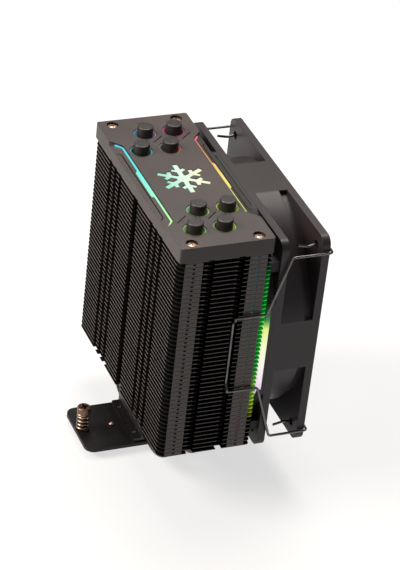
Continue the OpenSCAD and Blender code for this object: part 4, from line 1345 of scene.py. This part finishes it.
@dataclass
class WireClip:
    """One bent wire that holds the fan: tails in the frame's corner holes, waist in a fin groove."""

    name: str
    body: str
    hand: int
    fan_front_y: float = field(default_factory=lambda: high_end("fan_frame", Axis.Y))
    fan_back_y: float = field(default_factory=lambda: low_end("fan_frame", Axis.Y))
    centre_z: float = field(default_factory=lambda: middle("fan_frame", Axis.Z))
    hole: float = 52.5
    tail: float = 13.7
    tail_bend: float = 8.2
    slack: float = 0.6
    proud: float = 1.1
    shoulder: float = 5.3
    side_x: float = 61.3
    groove_x: float = 59.0
    groove_y: float = 7.7
    fin_y: float = 23.8
    waist: float = 21.5
    waist_step: float = 1.0
    waist_in: float = 4.0
    wire_d: float = 1.3
    wire_sides: int = 14
    bend_r: float = 1.8
    bend_steps: int = 10
    flange: float = 4.0

    def corners(self) -> np.ndarray:
        """Lists the wire's corners: the upper half from tail to groove, then its mirror image.

        Returns:
            The corners in millimetres, one a row.
        """
        front, hole, side, slack = self.fan_front_y, self.hole, self.side_x, self.slack
        half = np.array([
            [hole, front - self.tail, hole + slack], [hole, front - self.tail_bend, hole - slack],
            [hole, front - self.flange - slack, hole], [hole, front + self.proud, hole],
            [side, front + self.proud, hole], [side, self.fan_back_y + self.shoulder, hole],
            [side, self.fin_y, self.waist], [side, self.groove_y, self.waist],
            [side, self.groove_y, self.waist - self.waist_step],
            [self.groove_x, self.groove_y, self.waist - self.waist_in]])
        both = np.concatenate([half, half[::-1] * [1, 1, -1]])
        return both * [self.hand, 1, 1] + [0, 0, self.centre_z]

    def build(self, shop: Workshop) -> None:
        """Makes the wire in place of its CAD node.

        Args:
            shop: makes and hands out the finishes.
        """
        surface = Surface()
        path = rounded(self.corners(), self.bend_r, self.bend_steps)
        tube(surface, path, self.wire_d / 2, self.wire_sides, (self.hand, 1, 1))
        wire = surface.piece(self.name, self.body, "clip_wire")
        if self.hand < 0:
            wire.data.flip_normals()
        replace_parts(shop.paint(wire, CLIP_WIRE), f"fan_{self.name}")


# ---------------------------------------------------------------- studio


@dataclass
class Lamp:
    """One soft area lamp that looks at a point."""

    name: str
    place: tuple[float, float, float]
    aim: tuple[float, float, float]
    size: float
    watts: float
    colour: str = "#ffffff"

    def build(self) -> None:
        """Hangs the lamp and turns it to its aim."""
        data = bpy.data.lights.new(self.name, "AREA")
        data.shape = "DISK"
        data.size = self.size
        data.energy = self.watts
        data.color = linear(self.colour)[:3]
        lamp = bpy.data.objects.new(self.name, data)
        lamp.location = self.place
        lamp.rotation_euler = (Vector(self.aim) - Vector(self.place)).to_track_quat("-Z", "Y").to_euler()
        bpy.context.scene.collection.objects.link(lamp)


@dataclass
class Studio:
    """Floor, lamps, world and the camera at the photograph's viewing angle. Its sizes are in metres."""

    place: tuple[float, float, float] = (0.97476, -0.43394, 0.78586)
    right: tuple[float, float, float] = (0.3579, 0.9287, 0.0973)
    up: tuple[float, float, float] = (-0.5419, 0.1217, 0.8316)
    back: tuple[float, float, float] = (0.7604, -0.3504, 0.5468)
    focal_px: float = 2566.92
    picture_px: float = 570.0
    lamps: tuple[Lamp, ...] = (
        Lamp("key_left", (-0.25, -1.25, 0.95), (0, 0, 0.08), 0.9, 35.0, "#fff6ef"),
        Lamp("top", (-0.5, 0.22, 1.3), (0, 0, 0.12), 0.8, 19.5, "#fffaf5"),
        Lamp("fill_right", (1.3, 0.75, 0.7), (0, 0.02, 0.08), 0.9, 0.5, "#eef2ff"),
    )
    ambient: float = 0.16
    air: str = "#f3f4f6"
    sensor_mm: float = 36.0
    clip: tuple[float, float] = (0.01, 50.0)
    floor_reach: float = 9.0
    floor_points: int = 19
    floor_drop: float = 0.00002

    def camera(self) -> None:
        """Sets the camera from the fitted turn, place and focal length."""
        data = bpy.data.cameras.new("camera")
        data.sensor_width = self.sensor_mm
        data.lens = self.focal_px / self.picture_px * data.sensor_width
        data.clip_start, data.clip_end = self.clip
        camera = bpy.data.objects.new("camera", data)
        turn = Matrix((self.right, self.up, self.back)).transposed().to_4x4()
        camera.matrix_world = Matrix.Translation(self.place) @ turn
        bpy.context.scene.collection.objects.link(camera)
        bpy.context.scene.camera = camera

    def floor(self, shop: Workshop) -> None:
        """Lays a wide flat sheet of studio paper, a hair under what stands on it.

        Args:
            shop: makes and hands out the finishes.
        """
        reach = np.linspace(-self.floor_reach, self.floor_reach, self.floor_points)
        x, y = np.meshgrid(reach, reach, indexing="ij")
        points = np.stack([x, y, np.full_like(x, -self.floor_drop)], axis=-1).reshape(-1, 3)
        mesh = bpy.data.meshes.new("studio_floor")
        mesh.from_pydata(points.tolist(), [], grid_quads(self.floor_points, self.floor_points, False).tolist())
        sheet = bpy.data.objects.new("studio_floor", mesh)
        bpy.context.scene.collection.objects.link(sheet)
        sheet.data.materials.append(shop.get(StudioFloor("floor_studio_paper", "#8b8b8a")))

    def world(self) -> None:
        """Gives an even grey fill; the camera and glass see white behind the floor."""
        world = bpy.data.worlds.new("studio_air")
        bpy.context.scene.world = world
        world.use_nodes = True
        tree = world.node_tree
        tree.nodes.clear()
        ray = add(tree, "LightPath").outputs
        seen = add(tree, "Math", ray["Is Camera Ray"], ray["Is Transmission Ray"], operation="MAXIMUM")
        dim = add(tree, "Background", self.air, self.ambient)
        white = add(tree, "Background", WHITE, 1.0)
        add(tree, "OutputWorld", add(tree, "MixShader", seen, dim, white))

    def build(self, shop: Workshop) -> None:
        """Sets up the whole studio.

        Args:
            shop: makes and hands out the finishes.
        """
        self.camera()
        self.floor(shop)
        self.world()
        for lamp in self.lamps:
            lamp.build()
        bpy.context.scene.view_settings.view_transform = "Standard"
        LOG.info("studio: %d lamps", len(self.lamps))


def main() -> None:
    logging.basicConfig(level=logging.INFO, format="%(message)s")
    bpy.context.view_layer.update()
    shop = Workshop()
    parts = [
        Studio(), Tower(), LitCover(), MountingBar(), Fan(), Halo(),
        WireClip("clip_near", "clip_near", 1), WireClip("clip_far", "clip_far", -1),
    ]
    for part in parts:
        part.build(shop)
        LOG.info("built %s", type(part).__name__)
    bpy.context.view_layer.update()


if __name__ == "__main__":
    main()
